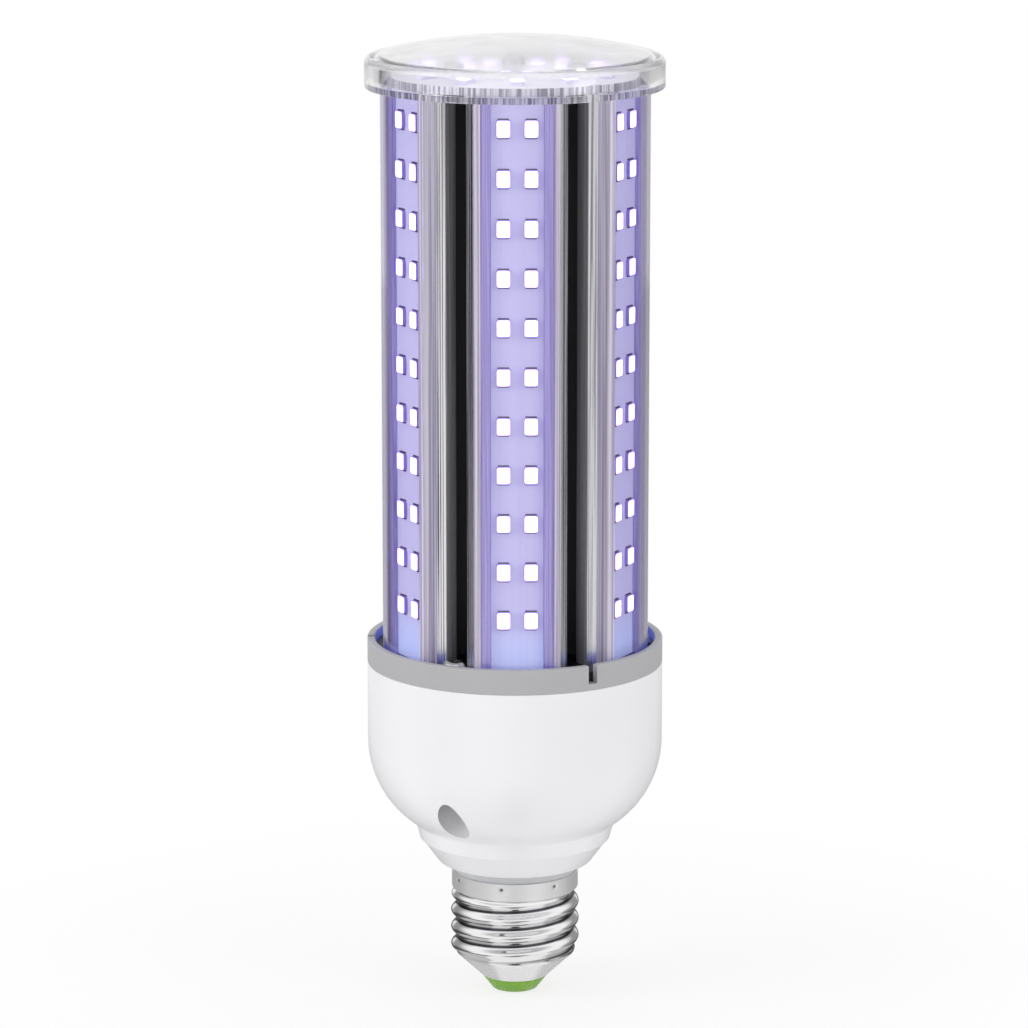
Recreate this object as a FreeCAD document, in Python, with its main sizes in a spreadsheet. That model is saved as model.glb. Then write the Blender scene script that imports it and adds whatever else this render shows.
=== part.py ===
"""LED corn lamp with an E27 screw cap: six covered strips of violet LEDs round an aluminium heat sink."""
import FreeCAD
import Part
import Sketcher
import math
import os
from FreeCAD import Placement, Rotation, Vector

doc = FreeCAD.newDocument("corn_lamp")
sheet = doc.addObject("Spreadsheet::Sheet", "Size")

# Driving dimensions, in millimetres or plain counts
SIZES = {
    # Screw cap: centre contact, glass insulator and threaded shell
    "contact_radius": 3.2,
    "contact_thickness": 0.4,
    "contact_stem_radius": 0.9,
    "contact_stem_length": 7.2,
    "insulator_tip_radius": 4.6,
    "insulator_rim_radius": 6.9,
    "insulator_height": 3.0,
    "insulator_inner_height": 3.5,
    "cone_height": 4.9,
    "shell_wall": 0.35,
    "thread_radius": 13.15,
    "thread_depth": 1.1,
    "thread_pitch": 3.629,
    "thread_length": 13.4,
    "thread_lead_in": 1.25,
    "thread_run_out": 0.7,
    "thread_root_flat": 0.5,
    "thread_crest_flat": 0.9,
    "thread_crest_round": 0.45,
    "collar_radius": 12.95,
    "collar_flare": 0.6,
    "collar_height": 4.15,
    # Housing: moulded bowl with a banded neck and a spigot that the shell is crimped to
    "body_radius": 30.0,
    "housing_wall": 1.8,
    "spigot_reveal": 2.15,
    "spigot_depth": 3.2,
    "spigot_bore": 10.4,
    "neck_foot_radius": 15.6,
    "neck_chamfer": 1.0,
    "neck_taper_radius": 19.2,
    "neck_taper_height": 4.9,
    "neck_step": 0.25,
    "neck_band_height": 3.5,
    "crease_radius": 20.4,
    "bowl_radius": 20.5,
    "bowl_knee_angle": 30.0,
    "skirt_height": 16.2,
    "boss_inset": 3.2,
    "boss_radius": 4.0,
    "post_radius": 2.1,
    "pocket_radius": 2.8,
    "pocket_roof": 4.0,
    "pilot_depth": 11.0,
    # Collar ring and the plate that it carries
    "ring_height": 5.0,
    "ring_wall": 1.6,
    "ring_ledge_width": 1.0,
    "ring_ledge_height": 1.25,
    "ring_lip_height": 1.5,
    "ring_chamfer": 0.3,
    "notch_width": 2.0,
    "notch_depth": 3.7,
    "plate_thickness": 2.0,
    "plate_lead_hole": 5.0,
    "foot_screw_circle": 13.0,
    # Screws, pan head with a cross recess
    "screw_head_radius": 2.45,
    "screw_head_height": 1.9,
    "screw_head_top_radius": 1.9,
    "screw_shank_radius": 1.3,
    "screw_hole_radius": 1.6,
    "plate_screw_length": 11.0,
    "foot_screw_length": 9.0,
    "board_screw_length": 8.0,
    "recess_length": 2.8,
    "recess_width": 0.7,
    "recess_depth": 1.0,
    # Heat sink: core tube, stems and heads with a slide-in channel for board and cover
    "column_count": 6,
    "core_radius": 9.5,
    "core_bore": 7.0,
    "stem_width": 4.6,
    "stem_root": 1.0,
    "head_depth": 4.4,
    "head_wall": 1.5,
    "seat_wall": 1.8,
    "slot_width": 4.6,
    "seat_inset": 5.6,
    "rail_width": 2.0,
    "rail_stem_width": 1.0,
    "rail_height": 2.3,
    "rail_lip": 0.6,
    "ledge_rise": 0.45,
    # LED strips, their covers and the round board on top
    "board_width": 10.2,
    "board_thickness": 1.4,
    "led_width": 2.8,
    "led_length": 3.5,
    "led_height": 0.75,
    "led_spacing": 5.38,
    "led_pitch": 9.78,
    "led_rows": 11,
    "led_foot_margin": 10.7,
    "led_head_margin": 6.5,
    "cover_half_width": 8.6,
    "cover_side_height": 2.7,
    "cover_arch_radius": 20.0,
    "cover_corner_round": 1.2,
    "cover_wall": 0.7,
    "cover_lip_height": 1.1,
    "top_board_overhang": 2.0,
    "top_board_thickness": 1.5,
    "top_board_lead_hole": 2.5,
    "top_screw_inset": 10.8,
    "inner_led_circle": 9.5,
    "inner_led_count": 6,
    "outer_led_inset": 5.3,
    "outer_led_count": 12,
    # Clear top cap
    "cap_clearance": 0.55,
    "cap_skirt_wall": 1.4,
    "cap_overlap": 1.25,
    "cap_board_clearance": 1.8,
    "cap_wall_height": 4.45,
    "cap_edge_width": 1.5,
    "cap_edge_rise": 1.95,
    "cap_dome_radius": 117.0,
    "cap_dome_wall": 1.6,
    "cap_slot_width": 2.3,
    "cap_slot_height": 1.6,
    # Driver inside the housing
    "driver_headroom": 11.2,
    "driver_board_clearance": 1.8,
    "driver_board_thickness": 1.6,
    "input_capacitor_x": -10.0,
    "input_capacitor_y": 7.0,
    "input_capacitor_radius": 5.0,
    "input_capacitor_length": 14.0,
    "output_capacitor_x": 8.0,
    "output_capacitor_y": 9.0,
    "output_capacitor_radius": 4.0,
    "output_capacitor_length": 11.0,
    "transformer_x": 9.5,
    "transformer_y": -9.0,
    "core_length": 14.0,
    "core_depth": 6.0,
    "core_drop": 12.0,
    "core_limb": 2.2,
    "winding_depth": 10.0,
    "chip_x": 8.0,
    "chip_y": -8.0,
    "chip_length": 5.0,
    "chip_width": 4.0,
    "chip_height": 1.6,
    "bridge_x": -9.0,
    "bridge_y": -8.0,
    "bridge_length": 6.5,
    "bridge_width": 5.0,
    "bridge_height": 2.5,
    "fuse_x": -17.0,
    "fuse_y": -6.0,
    "fuse_radius": 1.7,
    "fuse_length": 9.0,
    "lead_radius": 0.65,
    "lead_spacing": 3.0,
    "neutral_lead_circle": 9.3,
    # Clearances, and how far a cut runs past the face that it opens
    "fit": 0.1,
    "loose_fit": 0.2,
    "cut_margin": 1.0,
}
for row, (alias, value) in enumerate(SIZES.items(), start=1):
    sheet.set(f"A{row}", alias.replace("_", " "))
    sheet.set(f"B{row}", str(value))
    sheet.setAlias(f"B{row}", alias)
doc.recompute()

# Levels up the lamp, from the tip of the centre contact
INSULATOR_FOOT = "Size.contact_thickness"
INSULATOR_RIM = f"({INSULATOR_FOOT} + Size.insulator_height)"
INSULATOR_TOP = f"({INSULATOR_RIM} + Size.insulator_inner_height)"
THREAD_FOOT = f"({INSULATOR_RIM} + Size.cone_height)"
COLLAR_FOOT = f"({THREAD_FOOT} + Size.thread_length)"
COLLAR_TOP = f"({COLLAR_FOOT} + Size.collar_height)"
NECK_FOOT = f"({COLLAR_TOP} + Size.spigot_reveal)"
NECK_BAND = f"({NECK_FOOT} + Size.neck_taper_height)"
CREASE = f"({NECK_BAND} + Size.neck_band_height)"
BOWL_CENTRE = "(Size.body_radius - Size.bowl_radius)"
BOWL_RISE = f"sqrt(Size.bowl_radius ^ 2 - (Size.crease_radius - {BOWL_CENTRE}) ^ 2)"
BOWL_TOP = f"({CREASE} + {BOWL_RISE})"
HOUSING_TOP = f"({BOWL_TOP} + Size.skirt_height)"
PLATE_FOOT = f"({HOUSING_TOP} + Size.ring_ledge_height)"
PLATE_TOP = f"({PLATE_FOOT} + Size.plate_thickness)"
RING_TOP = f"({HOUSING_TOP} + Size.ring_height)"
DRIVER_FOOT = f"({PLATE_FOOT} - Size.driver_headroom)"
DRIVER_TOP = f"({DRIVER_FOOT} + Size.driver_board_thickness)"
FIRST_LED = f"({PLATE_TOP} + Size.led_foot_margin)"
COLUMN_LENGTH = "(Size.led_foot_margin + (Size.led_rows - 1) * Size.led_pitch + Size.led_head_margin)"
COLUMN_TOP = f"({PLATE_TOP} + {COLUMN_LENGTH})"
TOP_BOARD_TOP = f"({COLUMN_TOP} + Size.top_board_thickness)"

# Radii that several pieces share
THREAD_ROOT = "(Size.thread_radius - Size.thread_depth)"
SHELL_BORE = f"({THREAD_ROOT} - Size.shell_wall)"
COLLAR_BORE = "(Size.collar_radius - Size.shell_wall)"
SPIGOT_RADIUS = f"({COLLAR_BORE} - Size.fit)"
HOUSING_BORE = "(Size.body_radius - Size.housing_wall)"
RING_BORE = "(Size.body_radius - Size.ring_wall)"
LEDGE_BORE = f"({RING_BORE} - Size.ring_ledge_width)"
PILOT_RADIUS = "(Size.screw_shank_radius + Size.fit)"
BOSS_CIRCLE = f"({RING_BORE} - Size.boss_inset)"
DRIVER_RADIUS = f"({HOUSING_BORE} - Size.driver_board_clearance)"
SEAT_RADIUS = f"({RING_BORE} - Size.seat_inset)"
BOARD_TOP = f"({SEAT_RADIUS} + Size.board_thickness)"
RAIL_INSIDE = "(Size.board_width / 2 + Size.fit)"
COVER_LEDGE = f"({SEAT_RADIUS} + Size.ledge_rise)"
COVER_FOOT = f"({COVER_LEDGE} + Size.fit / 2)"
COVER_EAVES = f"({COVER_FOOT} + Size.cover_side_height)"
ARCH_CENTRE = f"({COVER_EAVES} - sqrt(Size.cover_arch_radius ^ 2 - Size.cover_half_width ^ 2))"
COVER_REACH = f"({ARCH_CENTRE} + Size.cover_arch_radius)"
TOP_BOARD_RADIUS = f"({SEAT_RADIUS} + Size.top_board_overhang)"
TOP_SCREW_CIRCLE = f"({TOP_BOARD_RADIUS} - Size.top_screw_inset)"
SKIRT_BORE = f"({COVER_REACH} + Size.cap_clearance)"
CAP_RADIUS = f"({SKIRT_BORE} + Size.cap_skirt_wall)"

SCREW_COUNT = 3
HALF_GAP_TURN = 60
FRONT_TURN = 180
SHELL_TURN = 155

parts = []


def number(expression):
    """The present value of an expression on the sheet."""
    return float(sheet.evalExpression(expression))


def new_body(label, turn=0):
    """A body that may hold several like solids, turned about the lamp's axis by a number of degrees."""
    body = doc.addObject("PartDesign::Body", label)
    body.Label = label
    body.AllowCompound = True
    body.Placement = Placement(Vector(0, 0, 0), Rotation(Vector(0, 0, 1), turn))
    return body


def keep(piece):
    """Lists a finished sub-part, to be checked and written under its label."""
    parts.append(piece)
    return piece


def new_sketch(body, role, lift):
    """An empty sketch on one of the body's own origin planes, lifted along the plane's normal."""
    sketch = body.newObject("Sketcher::SketchObject", f"{body.Label}_sketch")
    base = [plane for plane in body.Origin.OriginFeatures if plane.Role == role][0]
    sketch.AttachmentSupport = [(base, "")]
    sketch.MapMode = "FlatFace"
    sketch.setExpression("AttachmentOffset.Base.z", lift)
    return sketch


def pin_point(sketch, geometry, end, x, y):
    """Holds one point of the sketch at a pair of expressions."""
    for kind, axis, expression in (("DistanceX", -2, x), ("DistanceY", -1, y)):
        if expression == "0":
            sketch.addConstraint(Sketcher.Constraint("PointOnObject", geometry, end, axis))
            continue
        value = number(expression)
        index = sketch.addConstraint(Sketcher.Constraint(kind, -1, 1, geometry, end, value))
        sketch.setExpression(f"Constraints[{index}]", expression)


def arc_between(start, end, radius, bulge):
    """The shorter arc from start to end, bulging to the right of that direction, or to its left at -1."""
    chord = end - start
    half = chord.Length / 2
    across = Vector(chord.y, -chord.x, 0) / chord.Length * bulge
    sagitta = radius - math.sqrt(radius * radius - half * half)
    return Part.Arc(start, (start + end) / 2 + across * sagitta, end)


def outline(body, role, corners, arcs=None, lift="0", sketch=None):
    """A closed outline through corners; arcs maps an edge's number to its radius and its side."""
    arcs = arcs or {}
    sketch = sketch or new_sketch(body, role, lift)
    points = [Vector(number(x), number(y), 0) for x, y in corners]
    first = sketch.GeometryCount
    ends = []
    for edge, start in enumerate(points):
        finish = points[(edge + 1) % len(points)]
        if edge in arcs:
            radius, bulge = arcs[edge]
            geometry = sketch.addGeometry(arc_between(start, finish, number(radius), bulge))
            index = sketch.addConstraint(Sketcher.Constraint("Radius", geometry, number(radius)))
            sketch.setExpression(f"Constraints[{index}]", radius)
        else:
            geometry = sketch.addGeometry(Part.LineSegment(start, finish))
        reach = [sketch.getPoint(geometry, end).distanceToPoint(start) for end in (1, 2)]
        ends.append((1, 2) if reach[0] < reach[1] else (2, 1))
    for edge, (x, y) in enumerate(corners):
        before = (edge - 1) % len(corners)
        sketch.addConstraint(Sketcher.Constraint("Coincident", first + before, ends[before][1],
                                                 first + edge, ends[edge][0]))
        pin_point(sketch, first + edge, ends[edge][0], x, y)
    return sketch


def box_outline(body, role, x0, x1, y0, y1, lift="0", sketch=None):
    """A rectangle between two pairs of expressions."""
    return outline(body, role, [(x0, y0), (x1, y0), (x1, y1), (x0, y1)], lift=lift, sketch=sketch)


def circle(body, role, x, y, radius, lift="0", sketch=None):
    """A circle about a point, alone or added to a sketch."""
    sketch = sketch or new_sketch(body, role, lift)
    centre = Vector(number(x), number(y), 0)
    geometry = sketch.addGeometry(Part.Circle(centre, Vector(0, 0, 1), number(radius)))
    pin_point(sketch, geometry, 3, x, y)
    index = sketch.addConstraint(Sketcher.Constraint("Radius", geometry, number(radius)))
    sketch.setExpression(f"Constraints[{index}]", radius)
    return sketch


def add_feature(body, kind, sketch):
    """A feature of the body that is made from one sketch."""
    feature = body.newObject(f"PartDesign::{kind}", f"{body.Label}_{kind.lower()}")
    feature.Profile = sketch
    return feature


def pad(body, sketch, length, down=False):
    """Extrudes a sketch along its normal, or against it."""
    feature = add_feature(body, "Pad", sketch)
    feature.setExpression("Length", length)
    feature.Reversed = down
    return feature


def pocket(body, sketch, depth, up=False):
    """Cuts a sketch into the body below its plane, or above it."""
    feature = add_feature(body, "Pocket", sketch)
    feature.setExpression("Length", depth)
    feature.Reversed = up
    return feature


def revolve(body, sketch, axis="V_Axis"):
    """Turns a sketch once round an axis of the sketch."""
    feature = add_feature(body, "Revolution", sketch)
    feature.ReferenceAxis = (sketch, [axis])
    feature.Angle = 360
    return feature


def lamp_axis(body):
    """The body's own Z axis."""
    return [axis for axis in body.Origin.OriginFeatures if axis.Role == "Z_Axis"][0]


def polar(body, features, count):
    """Repeats features evenly round the lamp's axis."""
    pattern = body.newObject("PartDesign::PolarPattern", f"{body.Label}_polar")
    pattern.Originals = features
    pattern.Axis = (lamp_axis(body), [""])
    pattern.Angle = 360
    pattern.setExpression("Occurrences", str(count))
    body.Tip = pattern
    return pattern


def boolean(kind, label, base, tool):
    """A cut, fusion or intersection of two objects."""
    result = doc.addObject(f"Part::{kind}", label)
    result.Label = label
    result.Base = base
    result.Tool = tool
    return result


def posts(label, radius, foot, top, turn=0):
    """Three upright cylinders on the boss circle, from one level to another."""
    body = new_body(label, turn)
    one = pad(body, circle(body, "XY_Plane", BOSS_CIRCLE, "0", radius, lift=foot), f"{top} - {foot}")
    polar(body, [one], SCREW_COUNT)
    return body


def make_centre_contact():
    """Brass disc with a stem through the insulator."""
    body = new_body("centre_contact")
    stem_top = f"{INSULATOR_FOOT} + Size.contact_stem_length"
    revolve(body, outline(body, "XZ_Plane", [
        ("0", "0"),
        ("Size.contact_radius", "0"),
        ("Size.contact_radius", INSULATOR_FOOT),
        ("Size.contact_stem_radius", INSULATOR_FOOT),
        ("Size.contact_stem_radius", stem_top),
        ("0", stem_top)]))
    return keep(body)


# Slant of the shell's cone, and its wall measured level
CONE_RUN = f"({THREAD_ROOT} - Size.insulator_rim_radius)"
CONE_LEVEL_WALL = f"(Size.shell_wall * sqrt({CONE_RUN} ^ 2 + Size.cone_height ^ 2) / Size.cone_height)"


def make_base_insulator():
    """Coloured glass cone that fills the foot of the shell and carries the centre contact."""
    body = new_body("base_insulator")
    bore = "(Size.contact_stem_radius + Size.fit)"
    inner_reach = f"(Size.insulator_inner_height * {CONE_RUN} / Size.cone_height)"
    seat = f"(Size.insulator_rim_radius - {CONE_LEVEL_WALL} - Size.fit)"
    revolve(body, outline(body, "XZ_Plane", [
        (bore, INSULATOR_FOOT),
        ("Size.insulator_tip_radius", INSULATOR_FOOT),
        ("Size.insulator_rim_radius", INSULATOR_RIM),
        (seat, INSULATOR_RIM),
        (f"({seat} + {inner_reach})", INSULATOR_TOP),
        (bore, INSULATOR_TOP)]))
    return keep(body)


def make_screw_shell():
    """Nickel-plated sheet shell: cone, right-hand round thread and a plain collar."""
    body = new_body("screw_shell", SHELL_TURN)
    inner_foot = f"(Size.insulator_rim_radius - {CONE_LEVEL_WALL})"
    flare_top = f"({COLLAR_FOOT} + Size.collar_flare)"
    revolve(body, outline(body, "XZ_Plane", [
        (inner_foot, INSULATOR_RIM),
        ("Size.insulator_rim_radius", INSULATOR_RIM),
        (THREAD_ROOT, THREAD_FOOT),
        (THREAD_ROOT, COLLAR_FOOT),
        ("Size.collar_radius", flare_top),
        ("Size.collar_radius", COLLAR_TOP),
        (COLLAR_BORE, COLLAR_TOP),
        (COLLAR_BORE, f"({flare_top} + Size.shell_wall)"),
        (SHELL_BORE, f"({COLLAR_FOOT} + Size.shell_wall)"),
        (SHELL_BORE, THREAD_FOOT)]))
    crest = f"({THREAD_FOOT} + Size.thread_lead_in)"
    base = "((Size.thread_pitch - Size.thread_root_flat) / 2)"
    flank = f"(({base} + Size.thread_crest_flat / 2) / 2)"
    sunk = f"({THREAD_ROOT} - Size.shell_wall / 2)"
    waist = "(Size.thread_radius - Size.thread_crest_round)"
    ridge = outline(body, "XZ_Plane", [
        (sunk, f"{crest} - {base}"),
        (THREAD_ROOT, f"{crest} - {base}"),
        (waist, f"{crest} - {flank}"),
        ("Size.thread_radius", f"{crest} - Size.thread_crest_flat / 2"),
        ("Size.thread_radius", f"{crest} + Size.thread_crest_flat / 2"),
        (waist, f"{crest} + {flank}"),
        (THREAD_ROOT, f"{crest} + {base}"),
        (sunk, f"{crest} + {base}")])
    thread = add_feature(body, "AdditiveHelix", ridge)
    thread.ReferenceAxis = (ridge, ["V_Axis"])
    thread.Mode = 0
    thread.setExpression("Pitch", "Size.thread_pitch")
    thread.setExpression("Height", "Size.thread_length - Size.thread_lead_in - Size.thread_run_out")
    return keep(body)


def make_housing():
    """White moulded bowl: spigot, banded neck, cored screw bosses and posts under the plate."""
    outside = new_body("housing_outside")
    spigot_foot = f"({COLLAR_TOP} - Size.spigot_depth)"
    revolve(outside, outline(outside, "XZ_Plane", [
        ("0", spigot_foot),
        (SPIGOT_RADIUS, spigot_foot),
        (SPIGOT_RADIUS, NECK_FOOT),
        ("Size.neck_foot_radius", NECK_FOOT),
        ("(Size.neck_foot_radius + Size.neck_chamfer)", f"({NECK_FOOT} + Size.neck_chamfer)"),
        ("Size.neck_taper_radius", NECK_BAND),
        ("(Size.neck_taper_radius + Size.neck_step)", NECK_BAND),
        ("Size.crease_radius", CREASE),
        ("Size.body_radius", BOWL_TOP),
        ("Size.body_radius", HOUSING_TOP),
        ("0", HOUSING_TOP)],
        arcs={7: ("Size.bowl_radius", 1)}))
    inner_arc = "(Size.bowl_radius - Size.housing_wall)"
    inner_rise = f"sqrt({inner_arc} ^ 2 - (Size.crease_radius - {BOWL_CENTRE}) ^ 2)"
    hollow = new_body("housing_hollow")
    revolve(hollow, outline(hollow, "XZ_Plane", [
        ("0", spigot_foot),
        ("Size.spigot_bore", spigot_foot),
        ("Size.spigot_bore", f"({NECK_FOOT} + Size.housing_wall)"),
        ("Size.crease_radius", f"({BOWL_TOP} - {inner_rise})"),
        (f"({BOWL_CENTRE} + {inner_arc} * cos(Size.bowl_knee_angle))",
         f"({BOWL_TOP} - {inner_arc} * sin(Size.bowl_knee_angle))"),
        (HOUSING_BORE, BOWL_TOP),
        (HOUSING_BORE, HOUSING_TOP),
        ("0", HOUSING_TOP)]))
    shell = boolean("Cut", "housing_shell", outside, hollow)
    bosses = posts("boss_columns", "Size.boss_radius", NECK_FOOT, DRIVER_FOOT)
    bosses_inside = boolean("Common", "boss_columns_inside", bosses, hollow)
    uprights = posts("boss_posts", "Size.post_radius", DRIVER_FOOT, PLATE_FOOT)
    pocket_top = f"({PLATE_FOOT} - Size.pilot_depth - Size.pocket_roof)"
    pockets = posts("boss_pockets", "Size.pocket_radius", NECK_FOOT, pocket_top)
    pilots = posts("boss_pilots", PILOT_RADIUS, f"({PLATE_FOOT} - Size.pilot_depth)", PLATE_FOOT)
    with_bosses = boolean("Fuse", "housing_with_bosses", shell, bosses_inside)
    with_posts = boolean("Fuse", "housing_with_posts", with_bosses, uprights)
    cored = boolean("Cut", "housing_cored", with_posts, pockets)
    return keep(boolean("Cut", "housing", cored, pilots))


def make_collar_ring():
    """Grey ring on the housing's rim, with a locating lip, a ledge for the plate and three notches."""
    body = new_body("collar_ring", HALF_GAP_TURN)
    lip_foot = f"({HOUSING_TOP} - Size.ring_lip_height)"
    lip_radius = f"({HOUSING_BORE} - Size.fit)"
    revolve(body, outline(body, "XZ_Plane", [
        (LEDGE_BORE, lip_foot),
        (lip_radius, lip_foot),
        (lip_radius, HOUSING_TOP),
        ("Size.body_radius", HOUSING_TOP),
        ("Size.body_radius", f"({RING_TOP} - Size.ring_chamfer)"),
        ("(Size.body_radius - Size.ring_chamfer)", RING_TOP),
        (RING_BORE, RING_TOP),
        (RING_BORE, PLATE_FOOT),
        (LEDGE_BORE, PLATE_FOOT)]))
    half = "Size.notch_width / 2"
    opening = box_outline(body, "XY_Plane", LEDGE_BORE, "(Size.body_radius + Size.cut_margin)",
                          f"-{half}", half, lift=RING_TOP)
    notch = pocket(body, opening, "Size.notch_depth")
    polar(body, [notch], SCREW_COUNT)
    return keep(body)


def make_mounting_plate():
    """Black disc on the ring's ledge, drilled for its own screws, the heat sink's screws and the leads."""
    body = new_body("mounting_plate")
    disc = circle(body, "XY_Plane", "0", "0", f"({RING_BORE} - Size.loose_fit)", lift=PLATE_FOOT)
    circle(body, "XY_Plane", "0", "0", "Size.plate_lead_hole", sketch=disc)
    pad(body, disc, "Size.plate_thickness")
    for x, y in ((BOSS_CIRCLE, "0"), ("0", "Size.foot_screw_circle")):
        hole = pocket(body, circle(body, "XY_Plane", x, y, "Size.screw_hole_radius", lift=PLATE_TOP),
                      "Size.plate_thickness")
        polar(body, [hole], SCREW_COUNT)
    return keep(body)


def make_screws(label, circle_radius, seat, length, turn=0, upward=False):
    """Three pan-head screws on a circle, heads on a seat; upward ones have their heads below it."""
    body = new_body(label, turn)
    way = "-" if upward else "+"
    back = "+" if upward else "-"
    head_top = f"({seat} {way} Size.screw_head_height)"
    tip = f"({seat} {back} {length})"
    sketch = outline(body, "XZ_Plane", [
        (circle_radius, head_top),
        (f"({circle_radius} + Size.screw_head_top_radius)", head_top),
        (f"({circle_radius} + Size.screw_head_radius)", seat),
        (f"({circle_radius} + Size.screw_shank_radius)", seat),
        (f"({circle_radius} + Size.screw_shank_radius)", tip),
        (circle_radius, tip)])
    points = [Vector(number(circle_radius), number(level), 0) for level in (tip, head_top)]
    axis = sketch.addGeometry(Part.LineSegment(*points), True)
    for end, level in ((1, tip), (2, head_top)):
        pin_point(sketch, axis, end, circle_radius, level)
    screw = revolve(body, sketch, "Axis0")
    long_half = "Size.recess_length / 2"
    wide_half = "Size.recess_width / 2"
    right = f"({circle_radius} + {long_half})"
    left = f"({circle_radius} - {long_half})"
    inner_right = f"({circle_radius} + {wide_half})"
    inner_left = f"({circle_radius} - {wide_half})"
    cross = outline(body, "XY_Plane", [
        (inner_right, f"-{long_half}"), (inner_right, f"-{wide_half}"), (right, f"-{wide_half}"),
        (right, wide_half), (inner_right, wide_half), (inner_right, long_half),
        (inner_left, long_half), (inner_left, wide_half), (left, wide_half),
        (left, f"-{wide_half}"), (inner_left, f"-{wide_half}"), (inner_left, f"-{long_half}")], lift=head_top)
    recess = pocket(body, cross, "Size.recess_depth", up=upward)
    polar(body, [screw, recess], SCREW_COUNT)
    return keep(body)


def make_heat_sink():
    """Aluminium extrusion: core tube and six stems, each with a head that holds a board and a cover."""
    body = new_body("heat_sink")
    tube = circle(body, "XY_Plane", "0", "0", "Size.core_radius", lift=PLATE_TOP)
    circle(body, "XY_Plane", "0", "0", "Size.core_bore", sketch=tube)
    pad(body, tube, COLUMN_LENGTH)
    rail_top = f"({SEAT_RADIUS} + Size.rail_height)"
    rail_outside = f"({RAIL_INSIDE} + Size.rail_width)"
    rail_stem = f"({RAIL_INSIDE} + Size.rail_stem_width)"
    lean = "(180 deg / Size.column_count)"
    shoulder_half = (f"((({COVER_LEDGE} + Size.cover_half_width) * sin({lean}) - Size.slot_width / 2)"
                     f" / (sin({lean}) + cos({lean})))")
    shoulder = f"({COVER_LEDGE} - ({shoulder_half} - Size.cover_half_width))"
    head_inner = f"({shoulder_half} - Size.head_depth * sin({lean}))"
    head_foot = f"({shoulder} - Size.head_depth * cos({lean}))"
    hook_inner = f"({head_inner} - Size.head_wall * cos({lean}))"
    hook_foot = f"({head_foot} + Size.head_wall * sin({lean}))"
    seat_back = f"({SEAT_RADIUS} - Size.seat_wall)"
    right_side = [
        (RAIL_INSIDE, SEAT_RADIUS),
        (RAIL_INSIDE, rail_top),
        (rail_outside, rail_top),
        (rail_outside, f"({rail_top} - Size.rail_lip)"),
        (rail_stem, f"({rail_top} - Size.rail_lip)"),
        (rail_stem, COVER_LEDGE),
        ("Size.cover_half_width", COVER_LEDGE),
        (shoulder_half, shoulder),
        (head_inner, head_foot),
        (hook_inner, hook_foot),
        (f"({hook_inner} + ({seat_back} - {hook_foot}) * tan({lean}))", seat_back),
        ("(Size.stem_width / 2)", seat_back),
        ("(Size.stem_width / 2)", "(Size.core_radius - Size.stem_root)")]
    left_side = [(f"-{x}", y) for x, y in reversed(right_side)]
    column = pad(body, outline(body, "XY_Plane", right_side + left_side, lift=PLATE_TOP), COLUMN_LENGTH)
    polar(body, [column], "Size.column_count")
    for place, length, level, up in (("Size.foot_screw_circle", "Size.foot_screw_length", PLATE_TOP, True),
                                     (TOP_SCREW_CIRCLE, "Size.board_screw_length", COLUMN_TOP, False)):
        pilot = pocket(body, circle(body, "XY_Plane", "0", place, PILOT_RADIUS, lift=level), length, up=up)
        polar(body, [pilot], SCREW_COUNT)
    return keep(body)


def strip_turn(number_in_ring):
    """Degrees that bring a strip modelled towards +Y to its own column; strip 1 is at the front."""
    return FRONT_TURN + 360 / number("Size.column_count") * (number_in_ring - 1)


def make_strip_board(index):
    """Aluminium-backed board that slides into the channel between two rails."""
    body = new_body(f"strip_board_{index}", strip_turn(index))
    half = "Size.board_width / 2"
    section = box_outline(body, "XY_Plane", f"-{half}", half, SEAT_RADIUS, BOARD_TOP, lift=PLATE_TOP)
    pad(body, section, COLUMN_LENGTH)
    return keep(body)


def make_strip_leds(index):
    """Two files of LED packages soldered along a strip board."""
    body = new_body(f"strip_leds_{index}", strip_turn(index))
    inner = "((Size.led_spacing - Size.led_width) / 2)"
    outer = "((Size.led_spacing + Size.led_width) / 2)"
    foot = f"({FIRST_LED} - Size.led_length / 2)"
    face = f"({BOARD_TOP} + Size.led_height)"
    pair = box_outline(body, "XY_Plane", inner, outer, BOARD_TOP, face, lift=foot)
    box_outline(body, "XY_Plane", f"-{outer}", f"-{inner}", BOARD_TOP, face, sketch=pair)
    row = pad(body, pair, "Size.led_length")
    files = body.newObject("PartDesign::LinearPattern", f"{body.Label}_files")
    files.Originals = [row]
    files.Direction = (lamp_axis(body), [""])
    files.setExpression("Length", "(Size.led_rows - 1) * Size.led_pitch")
    files.setExpression("Occurrences", "Size.led_rows")
    body.Tip = files
    return keep(body)


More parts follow.
